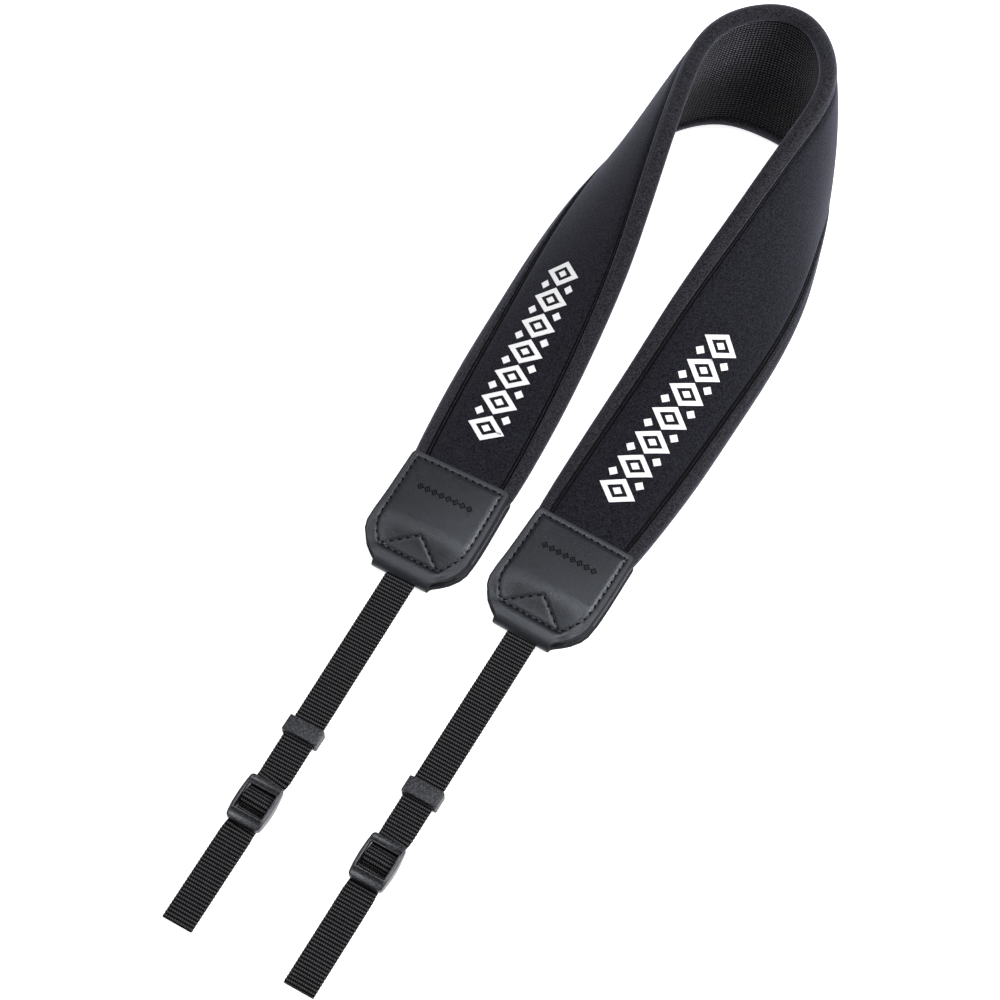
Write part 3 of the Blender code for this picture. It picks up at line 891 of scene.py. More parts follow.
def print_quads():
    """All quads of the print, laid out flat."""
    pitch = PRINT_LENGTH / LOZENGES
    quads = []
    for i in range(LOZENGES):
        centre = PRINT_START + pitch * (i + 0.5)
        quads += lozenge_ring(centre, pitch * RING_HALF, PRINT_HALF_WIDTH, RING_BAND)
        quads += lozenge_ring(centre, pitch * CORE_HALF, PRINT_HALF_WIDTH * CORE_HALF_WIDE, 1.0)
    for i in range(1, LOZENGES):
        centre = PRINT_START + pitch * i
        for wing in (-1, 1):
            shift = np.array([0.0, wing * PRINT_HALF_WIDTH * WING_PLACE])
            small = lozenge_ring(centre, pitch * WING_HALF, PRINT_HALF_WIDTH * WING_HALF_WIDE, 1.0)
            quads += [quad + shift for quad in small]
    return quads


print("flat quads of the print:", len(print_quads()))

# %% A thin film


def film_mesh(name, place, quads, lifts, steps=5):
    """One closed thin film for each flat quad, laid where `place` says, between two lifts."""
    body = bmesh.new()
    share = np.linspace(0, 1, steps + 1)
    s, t = np.meshgrid(share, share, indexing="ij")
    s, t = s[..., None], t[..., None]
    rim = [(i, 0) for i in range(steps)] + [(steps, j) for j in range(steps)]
    rim += [(i, steps) for i in range(steps, 0, -1)] + [(0, j) for j in range(steps, 0, -1)]
    for one, two, three, four in quads:
        flat = (one * (1 - s) + two * s) * (1 - t) + (four * (1 - s) + three * s) * t
        lower, upper = [
            [[body.verts.new(point) for point in line] for line in place(flat, lift)]
            for lift in lifts
        ]
        for sheet in (lower, upper):
            for i in range(steps):
                for j in range(steps):
                    near, far = sheet[i], sheet[i + 1]
                    body.faces.new((near[j], far[j], far[j + 1], near[j + 1]))
        for (i, j), (p, q) in zip(rim, rim[1:] + rim[:1]):
            body.faces.new((upper[i][j], lower[i][j], lower[p][q], upper[p][q]))
    bmesh.ops.remove_doubles(body, verts=body.verts, dist=COINCIDENT)
    bmesh.ops.dissolve_degenerate(body, dist=COINCIDENT, edges=body.edges)
    bmesh.ops.recalc_face_normals(body, faces=body.faces)
    return written(body, bpy.data.meshes.new(name))


# %% Lay the ink on the band
for side in SIDES:
    name = f"printed_lozenges_{side.name}"

    def on_this_panel(flat, lift):
        return on_panel(side, flat[..., 0], flat[..., 1], lift)

    lifts = (-INK_SUNK, INK_THICKNESS - INK_SUNK)
    printed = show(name, film_mesh(name, on_this_panel, print_quads(), lifts), [ink])
    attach(printed, "strap")

# %% [markdown]
# ## The leather ends
#
# One strip of leather is folded over the end of each pad leg, and stitched round its rim
# through pad and back flap. A triangle of stitches holds the webbing. Below it the leather
# rolls round in an open fold, which the webbing leaves through a slot.
#
# The strip is a grid again: its rows run down the front flap, round the fold and up the
# back flap. Its front is carved by distance from the stitching, so that every seam sinks
# into the leather and the rim outside it stands proud.

# %% Where the stitches are
STITCH_TOP = 1.7 * MM             # from the leather's upper edge
STITCH_SIDE = 14.0 * MM           # from its middle
STITCH_LOW = 30.6 * MM            # the lowest seam
STITCH_LOW_HALF = 9.6 * MM        # half its length
STITCH_APEX = 23.8 * MM           # the top of the triangle on it
SEAM_MARK = 0.25 * MM             # between two points that stand for the seam
STITCH_PITCH = 2.25 * MM
STITCH_LENGTH = 1.25 * MM


def stitch_lines():
    """The seams as flat lines (along, across): the rim and the triangle."""
    side = [
        (STITCH_TOP, STITCH_SIDE),
        (0.70 * STITCH_LOW, STITCH_SIDE + 0.1 * MM),
        (0.80 * STITCH_LOW, STITCH_SIDE - 0.2 * MM),
        (0.89 * STITCH_LOW, STITCH_SIDE - 1.5 * MM),
        (0.96 * STITCH_LOW, STITCH_SIDE - 3.1 * MM),
        (STITCH_LOW, STITCH_LOW_HALF),
    ]
    mirrored = [(along, -across) for along, across in side]
    rim = side[::-1] + mirrored
    low = [(STITCH_LOW, -STITCH_LOW_HALF), (STITCH_LOW, STITCH_LOW_HALF)]
    triangle = [low[0], (STITCH_APEX, 0.0), low[1]]
    return [np.array(line) for line in (rim, low, triangle)]


def stitch_ends():
    """Both ends (along, across) of every stitch."""
    pairs = []
    for line in stitch_lines():
        reached = lengths_along(line)
        count = round(reached[-1] / STITCH_PITCH)
        for middle in (np.arange(count) + 0.5) * reached[-1] / count:
            ends = middle + np.array([-0.5, 0.5]) * STITCH_LENGTH
            pairs.append(sampled(ends, reached, line))
    return np.array(pairs)


SEAM_MARKS = np.concatenate([even_line(line, SEAM_MARK) for line in stitch_lines()])
STITCHES = stitch_ends()
HOLES = STITCHES.reshape(-1, 2)
print("stitches on each face:", len(STITCHES))

# %% How the leather gives
FLAPS_CLOSE_FROM = 22.0 * MM
FOLD_BANK = 1.5 * MM              # over which they part again below the lowest seam
PINCH_HALF = 7.0 * MM             # half the width that is drawn together
PINCH_FADE = 6.5 * MM
FRONT_DIP = 0.38 * MM             # how far the front is drawn down there
BACK_DIP = 0.60 * MM              # and the back drawn up
PUFF = 0.26 * MM                  # how far the flap swells inside its seam
RIM_WIDTH = 2.2 * MM
PUFF_RAMP = 1.7 * MM
PUFF_RAMP_TOP = 1.5 * MM
FLAP_CROWN = 0.78 * MM
SEAM_DEPTH = 0.14 * MM
SEAM_SPREAD = 0.55 * MM
HOLE_DEPTH = 0.16 * MM
HOLE_SPREAD = 0.36 * MM

# %% Heights of the two flaps


def pinch(along, across):
    """How far, from 0 to 1, the through-stitches pull the two flaps together."""
    closing = smooth_step((along - FLAPS_CLOSE_FROM) / (STITCH_LOW - FLAPS_CLOSE_FROM))
    opening = 1 - smooth_step((along - STITCH_LOW) / FOLD_BANK)
    between = 1 - smooth_step((np.abs(across) - PINCH_HALF) / PINCH_FADE)
    return closing * opening * between


def nearest(marks, along, across):
    """The distance of flat places from the nearest of some marks."""
    along, across = np.broadcast_arrays(along, across)
    off = np.hypot(along[..., None] - marks[:, 0], across[..., None] - marks[:, 1])
    return off.min(axis=-1)


def inside_rim(along, across):
    """About 1 inside the rim's seam and 0 on the rim."""
    width = leather_half_width(along) - RIM_WIDTH
    side = smooth_step((width - np.abs(across)) / PUFF_RAMP)
    return side * smooth_step((along - STITCH_TOP) / PUFF_RAMP_TOP)


def crown(along, across):
    """How far the soft pad under it domes the flap."""
    sideways = 1 - (across / leather_half_width(along)) ** 2
    lengthways = 1 - (2 * along / FOLD_START - 1) ** 2
    return FLAP_CROWN * np.clip(sideways, 0, 1) * np.clip(lengthways, 0, 1)


def flap_height(along, across):
    """Height of the front flap's outer face over the leather's middle, but for its holes."""
    base = leather_half_height(along) - FRONT_DIP * pinch(along, across)
    puff = PUFF * inside_rim(along, across) * (1 - pinch(along, across))
    seam = SEAM_DEPTH * np.exp(-((nearest(SEAM_MARKS, along, across) / SEAM_SPREAD) ** 2))
    return base + puff + crown(along, across) - seam


def front_height(along, across):
    """The same height with a dimple where each stitch goes in."""
    hole = HOLE_DEPTH * np.exp(-((nearest(HOLES, along, across) / HOLE_SPREAD) ** 2))
    return flap_height(along, across) - hole


def back_height(along, across):
    """Height of the back flap's outer face under the leather's middle."""
    return leather_half_height(along) - BACK_DIP * pinch(along, across)


# %% [markdown]
# The leather is a smooth synthetic one with a fine grain. Outside the seam it isn't drawn
# tight over the pad, and its rim is a little duller and lighter.

# %% Leather finish
GRAIN = 0.55 * MM
FINE_GRAIN = 0.25 * MM
CLOUD = 6.0 * MM
RIM_ACROSS = (14.3 * MM, 15.0 * MM)     # where the duller rim begins, and is full
RIM_ALONG = (1.0 * MM, 1.7 * MM)        # and where it ends at the upper edge
FIBRE = 0.3 * MM                        # of its cut edge

leather = Finish("black_leather", specular_ior_level=0.5, specular_tint=(0.88, 0.93, 1.0))
cells = {"Scale": 1 / GRAIN, "Vector": leather.place()}
cell_edge = leather.node("ShaderNodeTexVoronoi", {"feature": "DISTANCE_TO_EDGE"}, cells)
creases = 1 - cell_edge.step(0.0, 0.16)
clouds = leather.noise(CLOUD, detail=3.0)
fine = leather.noise(FINE_GRAIN)
along, across = leather.along_and_across()
rim = 1 - (1 - across.size().step(*RIM_ACROSS)) * along.step(*RIM_ALONG)
base = leather.mix(clouds, (0.010, 0.011, 0.014), (0.014, 0.015, 0.019))
leather.colour(rim, base, (0.028, 0.029, 0.035))
leather.feed("Roughness", 0.27 + clouds * 0.06 + creases * 0.10 + rim * 0.15)
leather.bump(fine * 0.12 - creases * 0.20, depth=0.10 * MM)

cut_leather = Finish("leather_cut_edge", roughness=0.7, specular_ior_level=0.25)
cut_leather.colour(cut_leather.noise(FIBRE), (0.006, 0.006, 0.007), (0.014, 0.014, 0.016))

# %% Rows and rings of the strip
LEATHER_ROW = 0.25 * MM
LEATHER_COLUMNS = 132
INNER_COLUMNS = 12
RIM_STEPS = 6
NOSE_STEPS = 24
LIP_STEPS = 4
LIP_THINNING = 0.96               # how much of its thickness the rounded upper edge loses
EDGE_RADIUS = LEATHER_THICKNESS / 2
NOSE_RADIUS = (FOLD_RADIUS + FOLD_REACH) / 2


def leather_stations():
    """Rows (part, distance along, turn) down the front, round the fold and up the back."""
    lip = EDGE_RADIUS * (1 - np.cos(np.linspace(0, np.pi / 2, LIP_STEPS + 1)))[:-1]
    flap = np.arange(0.0, FOLD_START, LEATHER_ROW)
    flap = np.concatenate([lip, flap[flap > EDGE_RADIUS]])
    stations = [("front", along, 0.0) for along in flap]
    turns = np.linspace(0, np.pi, NOSE_STEPS + 1)[1:-1]
    stations += [("nose", FOLD_START, turn) for turn in turns]
    return stations + [("back", along, 0.0) for along in flap[::-1]]


def leather_ring(half_width, thin):
    """One row's places across, and how deep each lies under the outer face."""
    outer = np.linspace(-1, 1, LEATHER_COLUMNS + 1) * half_width
    inner = np.linspace(1, -1, INNER_COLUMNS + 1) * half_width
    turns = np.linspace(0, np.pi, RIM_STEPS + 1)[1:-1]
    rim = half_width + EDGE_RADIUS * np.sin(turns) * thin / LEATHER_THICKNESS
    across = np.concatenate([outer, rim, inner, -rim])
    depth = [0 * outer, (1 - np.cos(turns)) / 2, 0 * inner + 1, (1 + np.cos(turns)) / 2]
    return across, np.concatenate(depth) * thin


print("rows of the strip:", len(leather_stations()))

# %% The folded strip


def leather_strip(side):
    """Points of the folded strip, with its distances along and across, row by row."""
    points, alongs, acrosses = [], [], []
    for part, along, turn in leather_stations():
        half_width = leather_half_width(along + FOLD_REACH * math.sin(turn)) - EDGE_RADIUS
        lip = 1 - min(along / EDGE_RADIUS, 1)
        thin = LEATHER_THICKNESS * (1 - LIP_THINNING * (1 - math.sqrt(1 - lip * lip)))
        across, depth = leather_ring(half_width, thin)
        sunk = (LEATHER_THICKNESS - thin) / 2 + depth
        flat = np.clip(across, -half_width, half_width)
        ahead = np.full(len(across), along)
        travelled = along
        if part == "front":
            height = front_height(along, flat) - sunk
        elif part == "nose":
            ahead = along + (FOLD_REACH - sunk) * math.sin(turn)
            height = (FOLD_RADIUS - sunk) * math.cos(turn)
            travelled = along + turn * NOSE_RADIUS
        else:
            height = sunk - back_height(along, flat)
            travelled = 2 * FOLD_START + math.pi * NOSE_RADIUS - along
        points.append(leather_point(side, ahead, across, height))
        alongs.append(travelled)
        acrosses.append(np.append(across, across[0]))
    slots = np.ones(len(across), int)
    slots[:LEATHER_COLUMNS] = 0
    back_face = LEATHER_COLUMNS + RIM_STEPS
    slots[back_face : back_face + INNER_COLUMNS] = 0
    return np.array(points), np.array(alongs), np.array(acrosses), slots


# %% Build the leather ends
for side in SIDES:
    name = f"folded_leather_{side.name}"
    points, alongs, acrosses, slots = leather_strip(side)
    mesh = grid_mesh(name, points, alongs[:, None], acrosses, closed=True, slots=slots, weld=True)
    piece = show(name, mesh, [leather, cut_leather], sharp=60)
    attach(piece, "strap")
    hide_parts(f"leather_end_{side.name}")

# %% [markdown]
# A plain row of lozenges, each with a dot in it, is pressed into each front flap. The hot
# stamp leaves it matt and black. Such a mark is finer than the leather's grid, so it is a
# film like the print, nearly flush with the leather.

# %% Pressed mark
MARK_ALONG = 10.4 * MM
MARK_PITCH = 2.3 * MM
MARK_COUNT = 8
MARK_HALF = 1.12 * MM
MARK_LENGTH = 0.98                # the ring's half length, as a share of its half width
MARK_BAND = 0.42                  # the width of its line
MARK_DOT = 0.30                   # and the dot's half width
MARK_LIFTS = (-0.03 * MM, 0.02 * MM)

pressed = Finish(
    "pressed_mark",
    base_color=(0.001, 0.001, 0.002),
    roughness=0.9,
    specular_ior_level=0.1,
)

mark_quads = []
for i in range(MARK_COUNT):
    centre = (i + 0.5 - MARK_COUNT / 2) * MARK_PITCH
    mark_quads += lozenge_ring(centre, MARK_HALF * MARK_LENGTH, MARK_HALF, MARK_BAND)
    mark_quads += lozenge_ring(centre, MARK_HALF * MARK_DOT, MARK_HALF * MARK_DOT, 1.0)

for side in SIDES:
    name = f"pressed_lozenges_{side.name}"

    def on_this_flap(flat, lift):
        along, across = MARK_ALONG + flat[..., 1], flat[..., 0]
        return leather_point(side, along, across, front_height(along, across) + lift)

    mesh = film_mesh(name, on_this_flap, mark_quads, MARK_LIFTS, steps=2)
    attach(show(name, mesh, [pressed]), "strap")

# %% [markdown]
# ## The stitches
#
# The thread is black and thick. Each visible stitch is a small capsule that dips into the
# leather at both ends, so each is built as one and laid along its seam, front and back.

# %% One stitch
STITCH_RADIUS = 0.26 * MM
STITCH_TIP = 0.35                 # its radius at both ends, as a share of the middle's
STITCH_RISE = 0.90                # from its ends to its middle, in radii
STITCH_SUNK = 0.75                # and how deep its ends lie
STITCH_RINGS = 7
STITCH_SIDES = 8


def stitch_capsule(body, start, end, up):
    """Adds one stitch between two points: round, and sunk at both ends."""
    ahead = unit(end - start)
    aside = unit(np.cross(ahead, up))
    up = np.cross(aside, ahead)
    rings = []
    for share in np.linspace(0, 1, STITCH_RINGS):
        bow = math.sin(math.pi * share)
        radius = STITCH_RADIUS * (STITCH_TIP + (1 - STITCH_TIP) * bow)
        lift = STITCH_RADIUS * (STITCH_RISE * bow - STITCH_SUNK)
        centre = start + (end - start) * share + up * lift
        turns = np.linspace(0, 2 * np.pi, STITCH_SIDES, endpoint=False)
        rings.append([
            body.verts.new(centre + radius * (math.cos(t) * aside + math.sin(t) * up))
            for t in turns
        ])
    for near, far in zip(rings, rings[1:]):
        for i in range(STITCH_SIDES):
            j = (i + 1) % STITCH_SIDES
            body.faces.new((near[i], near[j], far[j], far[i]))
    body.faces.new(rings[0][::-1])
    body.faces.new(rings[-1])


# %% Build the stitches


def stitched(name, side):
    """All stitches of one leather end, on its front and its back."""
    body = bmesh.new()
    along, across = STITCHES[..., 0], STITCHES[..., 1]
    for height in (flap_height(along, across), -back_height(along, across)):
        faces = leather_point(side, along, across, height)
        insides = leather_point(side, along, across, height / 2)
        for (start, end), (under, _) in zip(faces, insides):
            stitch_capsule(body, start, end, unit(start - under))
    bmesh.ops.recalc_face_normals(body, faces=body.faces)
    return written(body, bpy.data.meshes.new(name))


for side in SIDES:
    name = f"leather_stitches_{side.name}"
    piece = show(name, stitched(name, side), [thread], sharp=80)
    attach(piece, "strap")

# %% [markdown]
# ## The webbing
#
# The narrow webbing is woven flat, with thick threads across it that stand up as ribs. It
# leaves the fold at half its height and runs level to the buckle. It goes under the upper
# bar, over the centre bar and under the lower one, and then its free end comes down to the
# table. The ribs are real ridges, each with its own rounded ends, because they notch the
# webbing's outline. The much finer threads along it are left to the finish.

# %% Sizes of the webbing
WEBBING_WIDTH = 9.6 * MM
WEBBING_SQUEEZED = 9.0 * MM       # its width inside the buckle
WEBBING_WIDENS = 3.0 * MM         # over which it widens again
WEBBING_THICKNESS = 1.2 * MM
RIB = 1.1 * MM
RIB_HEIGHT = 0.25 * MM
RIB_ROUNDING = 0.7                # under 1 makes the ribs fuller and the valleys narrower
SCALLOP = 0.18 * MM               # depth of the notches between the ribs, at both edges
WEBBING_STEP = RIB / 6
print("ribs in 10 mm:", round(10 * MM / RIB, 1))

# %% Where the webbing bends
WEBBING_LEVEL = FOLD_RADIUS       # half the fold's height
WEBBING_START_Y = -33.6 * MM
BUCKLE_LENGTH = 14.2 * MM
TAIL_LEVEL = 0.8 * MM
TAIL_SETTLES = 18.5 * MM          # from the buckle's middle
WEBBING_STRAIGHT_TO = 9.5 * MM    # from the buckle's middle to where the webbing turns
BUCKLE_DRIFT = 0.2 * MM           # sideways, from the buckle's middle to each of its ends
WOVEN_POINTS = 60

# How far each bend is from the buckle's middle towards the fold, and how high it lies.
Bend = namedtuple("Bend", "ahead height")
WEAVE_THROUGH_BUCKLE = [
    Bend(0.0110, WEBBING_LEVEL),
    Bend(0.0085, WEBBING_LEVEL),
    Bend(0.0064, 0.00252),
    Bend(0.0044, 0.00250),
    Bend(0.0023, 0.00325),
    Bend(0.0006, 0.00372),
    Bend(-0.0005, 0.00345),
    Bend(-0.0011, 0.00265),
    Bend(-0.0013, 0.00180),
    Bend(-0.0017, 0.00120),
    Bend(-0.0028, 0.00100),
    Bend(-0.0045, 0.00100),
    Bend(-0.0062, 0.00100),
    Bend(-0.0085, 0.00100),
]
print("bends through the buckle:", len(WEAVE_THROUGH_BUCKLE))

# %% The webbing's path


def webbing_x(side, y):
    """The middle of a side's webbing at this y."""
    half = BUCKLE_LENGTH / 2
    places = [
        (WEBBING_START_Y, side.start_x),
        (side.buckle_y + WEBBING_STRAIGHT_TO, side.above_x),
        (side.buckle_y + half, side.buckle_x + BUCKLE_DRIFT),
        (side.buckle_y - half, side.buckle_x - BUCKLE_DRIFT),
        (side.buckle_y - WEBBING_STRAIGHT_TO, side.tail_x),
    ]
    return np.interp(-y, [-place for place, _ in places], [x for _, x in places])


def webbing_line(side):
    """Even points (x, y, height) down the middle of one webbing."""
    knots = np.array([(side.buckle_y + bend.ahead, bend.height) for bend in WEAVE_THROUGH_BUCKLE])
    woven = natural_spline(knots, np.linspace(0, len(knots) - 1, WOVEN_POINTS))
    nose = side.leather_y - LEATHER_LENGTH
    straight = [(WEBBING_START_Y, WEBBING_LEVEL), (nose, WEBBING_LEVEL)]
    tail = [(side.buckle_y - TAIL_SETTLES, TAIL_LEVEL), (side.end_y, TAIL_LEVEL)]
    path = np.vstack([straight, woven, tail])
    path = np.column_stack([webbing_x(side, path[:, 0]), path])
    return even_line(path, WEBBING_STEP)


# %% Webbing finish
YARN = 0.68 * MM                  # from one of the fine threads to the next
YARN_PATCH = 0.8 * MM
DARK_YARN = (0.0010, 0.0010, 0.0012)
YARN_HIGHLIGHT = (0.066, 0.066, 0.070)

webbing = Finish("black_webbing", specular_ior_level=0.06)
along, across = webbing.along_and_across()
rib = along / RIB
ridge = (rib.fraction() * math.pi).sine()
yarn = across / YARN + rib.whole() * 0.5
strand = (yarn.fraction() * math.pi).sine()
uneven = webbing.noise(YARN_PATCH)
# Painted highlight: the crests of the ribs and of the fine threads are painted lighter, as if lit;
# the rest keeps the webbing's own black.
lit = (ridge ** 2.8) * (strand ** 2.0 * 0.84 + 0.16) * (uneven * 1.8 + 0.7)
webbing.colour(lit, DARK_YARN, YARN_HIGHLIGHT)
webbing.feed("Roughness", 0.95 - lit * 0.45)
webbing.bump(strand * ridge, depth=0.24 * MM)

# %% Rows round the webbing
WEBBING_COLUMNS = 26
WEBBING_SIDE_STEPS = 4


def webbing_points(side):
    """Closed rows round the webbing, with ribs on both faces and scalloped edges."""
    line = webbing_line(side)
    reached = lengths_along(line)
    ahead = unit(np.gradient(line, axis=0))
    aside = unit(np.cross(ahead, [0.0, 0.0, 1.0]))
    up = np.cross(aside, ahead)
    off = np.abs(line[:, 1] - side.buckle_y) - BUCKLE_LENGTH / 2
    widened = np.clip(off / WEBBING_WIDENS, 0, 1)
    half_width = (WEBBING_SQUEEZED + (WEBBING_WIDTH - WEBBING_SQUEEZED) * widened) / 2
    ridge = np.abs(np.sin(math.pi * reached / RIB)) ** RIB_ROUNDING
    half_width = half_width - SCALLOP * widened * (1 - ridge)
    face = WEBBING_THICKNESS / 2 - RIB_HEIGHT * (1 - ridge)
    shares = np.linspace(-1, 1, WEBBING_COLUMNS + 1)
    flat = half_width - WEBBING_THICKNESS / 2
    turns = np.linspace(np.pi / 2, -np.pi / 2, WEBBING_SIDE_STEPS + 1)[1:-1]
    upper = np.stack([flat[:, None] * shares, face[:, None] + 0 * shares], axis=-1)
    rim = np.stack([
        flat[:, None] + WEBBING_THICKNESS / 2 * np.cos(turns),
        face[:, None] * np.sin(turns),
    ], axis=-1)
    ring = np.concatenate([upper, rim, -upper, -rim], axis=1)
    points = line[:, None] + aside[:, None] * ring[..., :1] + up[:, None] * ring[..., 1:]
    across = np.concatenate([ring[..., 0], ring[:, :1, 0]], axis=1)
    return points, reached, across


# %% Build the webbing
for side in SIDES:
    name = f"ribbed_webbing_{side.name}"
    points, reached, across = webbing_points(side)
    mesh = grid_mesh(name, points, reached[:, None], across, closed=True)
    piece = show(name, mesh, [webbing], sharp=80)
    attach(piece, "strap")
    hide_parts(f"webbing_{side.name}")
    print("  length in mm:", in_mm(reached[-1]))

# %% [markdown]
# ## The keepers
#
# A keeper is a small moulded loop that holds two layers of webbing together. It is a ring
# with a rounded rectangular outline and the same opening all through, so its grid runs
# once round the outline, and its rows go over the outside, round both rims and back inside.

# %% Keeper finish
KEEPER_GRAIN = 0.60 * MM
DARK_KEEPER = (0.004, 0.004, 0.005)
LIT_KEEPER = (0.048, 0.048, 0.056)

keeper_plastic = Finish("keeper_plastic", specular_ior_level=0.4, specular_tint=(0.9, 0.93, 1.0))
mould_grain = keeper_plastic.noise(KEEPER_GRAIN, detail=3.0)
keeper_plastic.colour(mould_grain.step(0.42, 0.64), DARK_KEEPER, LIT_KEEPER)
keeper_plastic.feed("Roughness", 0.42 + mould_grain * 0.20)
keeper_plastic.bump(mould_grain, depth=0.12 * MM)

# %% Outlines of the keeper
KEEPER_WIDTH = 11.2 * MM
KEEPER_LENGTH = 5.0 * MM
KEEPER_BOTTOM = 0.1 * MM          # over the table
KEEPER_TOP = 4.8 * MM
KEEPER_CORNER = 0.7 * MM
KEEPER_BEVEL = 0.3 * MM
KEEPER_SLOT_WIDTH = 10.2 * MM
KEEPER_SLOT_HEIGHT = 1.8 * MM
KEEPER_SLOT_CORNER = 0.3 * MM
CORNER_STEPS = 6
KEEPER_BEVEL_STEPS = 4


def rounded_rectangle(half_width, low, high, corner):
    """Points round a rectangle with rounded corners, once round from its upper right."""
    centres = [
        (half_width - corner, high - corner, 0.0),
        (corner - half_width, high - corner, math.pi / 2),
        (corner - half_width, low + corner, math.pi),
        (half_width - corner, low + corner, -math.pi / 2),
    ]
    points = []
    for x, z, start in centres:
        for turn in start + np.linspace(0, math.pi / 2, CORNER_STEPS + 1):
            points.append((x + corner * math.cos(turn), z + corner * math.sin(turn)))
    return np.array(points)


def keeper_points():
    """Closed rows round the keeper about its own middle, its opening running along Y."""
    half = KEEPER_LENGTH / 2
    low, high = KEEPER_BOTTOM - WEBBING_LEVEL, KEEPER_TOP - WEBBING_LEVEL
    rim = []
    for turn in np.linspace(0, math.pi / 2, KEEPER_BEVEL_STEPS + 1):
        inset = KEEPER_BEVEL * (1 - math.cos(turn))
        y = half - KEEPER_BEVEL * (1 - math.sin(turn))
        outline = rounded_rectangle(
            KEEPER_WIDTH / 2 - inset, low + inset, high - inset, KEEPER_CORNER)
        rim.append((y, outline))
    slot = KEEPER_SLOT_HEIGHT / 2
    opening = rounded_rectangle(KEEPER_SLOT_WIDTH / 2, -slot, slot, KEEPER_SLOT_CORNER)
    rows = [(-y, outline) for y, outline in rim[::-1]] + rim
    rows += [(half, opening), (-half, opening), rows[0]]
    return np.array([[(x, y, z) for x, z in [*outline, outline[0]]] for y, outline in rows])


# %% Build the keepers
for side in SIDES:
    name = f"keeper_loop_{side.name}"
    place = (webbing_x(side, side.keeper_y), side.keeper_y, WEBBING_LEVEL)
    mesh = grid_mesh(name, keeper_points() + np.array(place), 0.0, 0.0, weld=True)
    piece = show(name, mesh, [keeper_plastic], sharp=50)
    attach(piece, f"keeper_{side.name}")
    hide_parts(f"keeper_{side.name}")

# %% [markdown]
# ## The buckles
#
# A three-bar buckle is moulded in one piece: two bowed side rails, a bar across each end
# and a lower bar between them, which the webbing goes over. It is cut like the real mould:
# a block with rounded corners, arched underneath, minus the window and the two passages
# under the end bars. The top of each end bar is hollowed between two thin rims, and the
# lower one slopes down to its outer edge. A last small bevel gives every edge its highlight.

# %% Sizes of the buckle
BUCKLE_WIDTH = 10.4 * MM          # across its ends
BUCKLE_BULGE = 0.5 * MM           # how far each side bows out
BUCKLE_CORNER = 1.2 * MM
BUCKLE_TOP = 5.0 * MM
BUCKLE_CLEAR = 9.0 * MM           # between the rails
UPPER_BAR = 2.85 * MM             # from its outer to its inner edge
LOWER_BAR = 3.1 * MM
LOWER_BAR_SLOPE = 0.75 * MM       # how far its top drops to its outer edge
UPPER_BAR_UNDERSIDE = 3.5 * MM
LOWER_BAR_UNDERSIDE = 2.2 * MM
RAIL_UNDERSIDE = 1.4 * MM         # at the middle
RAIL_TILT = 0.55 * MM             # how much higher that is at the upper end
RAIL_ARCH = 1.35 * MM             # and how far it rises towards both ends
RAIL_PAST = 1.1                   # how far the arch is cut, as a share of half the length
CENTRE_BAR_RADIUS = 0.7 * MM
CENTRE_BAR_HEIGHT = 2.2 * MM      # of its middle, over the table
CENTRE_BAR_SHIFT = 0.2 * MM       # from the buckle's middle towards the upper bar
CENTRE_BAR_BURIED = 0.4 * MM      # in each rail
TOP_ROUNDING = 0.60 * MM
UNDER_ROUNDING = 0.85 * MM
EDGE_BEVEL = 0.14 * MM
TROUGH_DEPTH = 0.30 * MM          # of the hollow in the top of each end bar
TROUGH_RIM = 0.36 * MM
TROUGH_PAST = 0.30 * MM           # how far it reaches over the rails
CUT_PAST = 2.0 * MM               # how far a cutter sticks out of what it cuts
BOW_STEPS = 20
ARCH_STEPS = 22
CENTRE_BAR_SIDES = 20
TROUGH_SIDES = 64
print("window, width and length in mm:", in_mm(BUCKLE_CLEAR, BUCKLE_LENGTH - UPPER_BAR - LOWER_BAR))

# %% Buckle finish
BUCKLE_GRAIN = 0.50 * MM
DARK_BUCKLE = (0.004, 0.004, 0.005)
LIT_BUCKLE = (0.036, 0.036, 0.040)

buckle_plastic = Finish("buckle_plastic", specular_ior_level=0.55, specular_tint=(0.9, 0.93, 1.0))
haze = buckle_plastic.noise(BUCKLE_GRAIN, detail=3.0)
buckle_plastic.colour(haze.step(0.40, 0.72), DARK_BUCKLE, LIT_BUCKLE)
buckle_plastic.feed("Roughness", 0.26 + haze * 0.14)
buckle_plastic.bump(haze, depth=0.07 * MM)

# %% Cutting and bevelling


def applied(piece):
    """A mesh of the object with its modifiers applied."""
    view = bpy.context.evaluated_depsgraph_get()
    view.update()
    return bpy.data.meshes.new_from_object(piece.evaluated_get(view))


def combined(base, tool, operation):
    """The mesh of a Boolean between two meshes."""
    one, two = placed("base", base), placed("tool", tool)
    modifier = one.modifiers.new("cut", "BOOLEAN")
    modifier.operation = operation
    modifier.solver = "EXACT"
    modifier.object = two
    result = applied(one)
    for thing in (one, two):
        bpy.data.objects.remove(thing)
    return result


def bevelled(mesh, width, segments, angle):
    """The mesh with a bevel on every edge sharper than this angle in degrees."""
    holder = placed("bevelled", mesh)
    bevel = holder.modifiers.new("bevel", "BEVEL")
    bevel.width = width
    bevel.segments = segments
    bevel.limit_method = "ANGLE"
    bevel.angle_limit = math.radians(angle)
    result = applied(holder)
    bpy.data.objects.remove(holder)
    return result


# %% Blocks, prisms and rods


def block(low, high):
    """A box mesh between two corners."""
    body = bmesh.new()
    middle = [(a + b) / 2 for a, b in zip(low, high)]
    size = [b - a for a, b in zip(low, high)]
    bmesh.ops.create_cube(body, size=1.0)
    for vert in body.verts:
        vert.co = Vector([m + s * v for m, s, v in zip(middle, size, vert.co)])
    return written(body, bpy.data.meshes.new("block"))


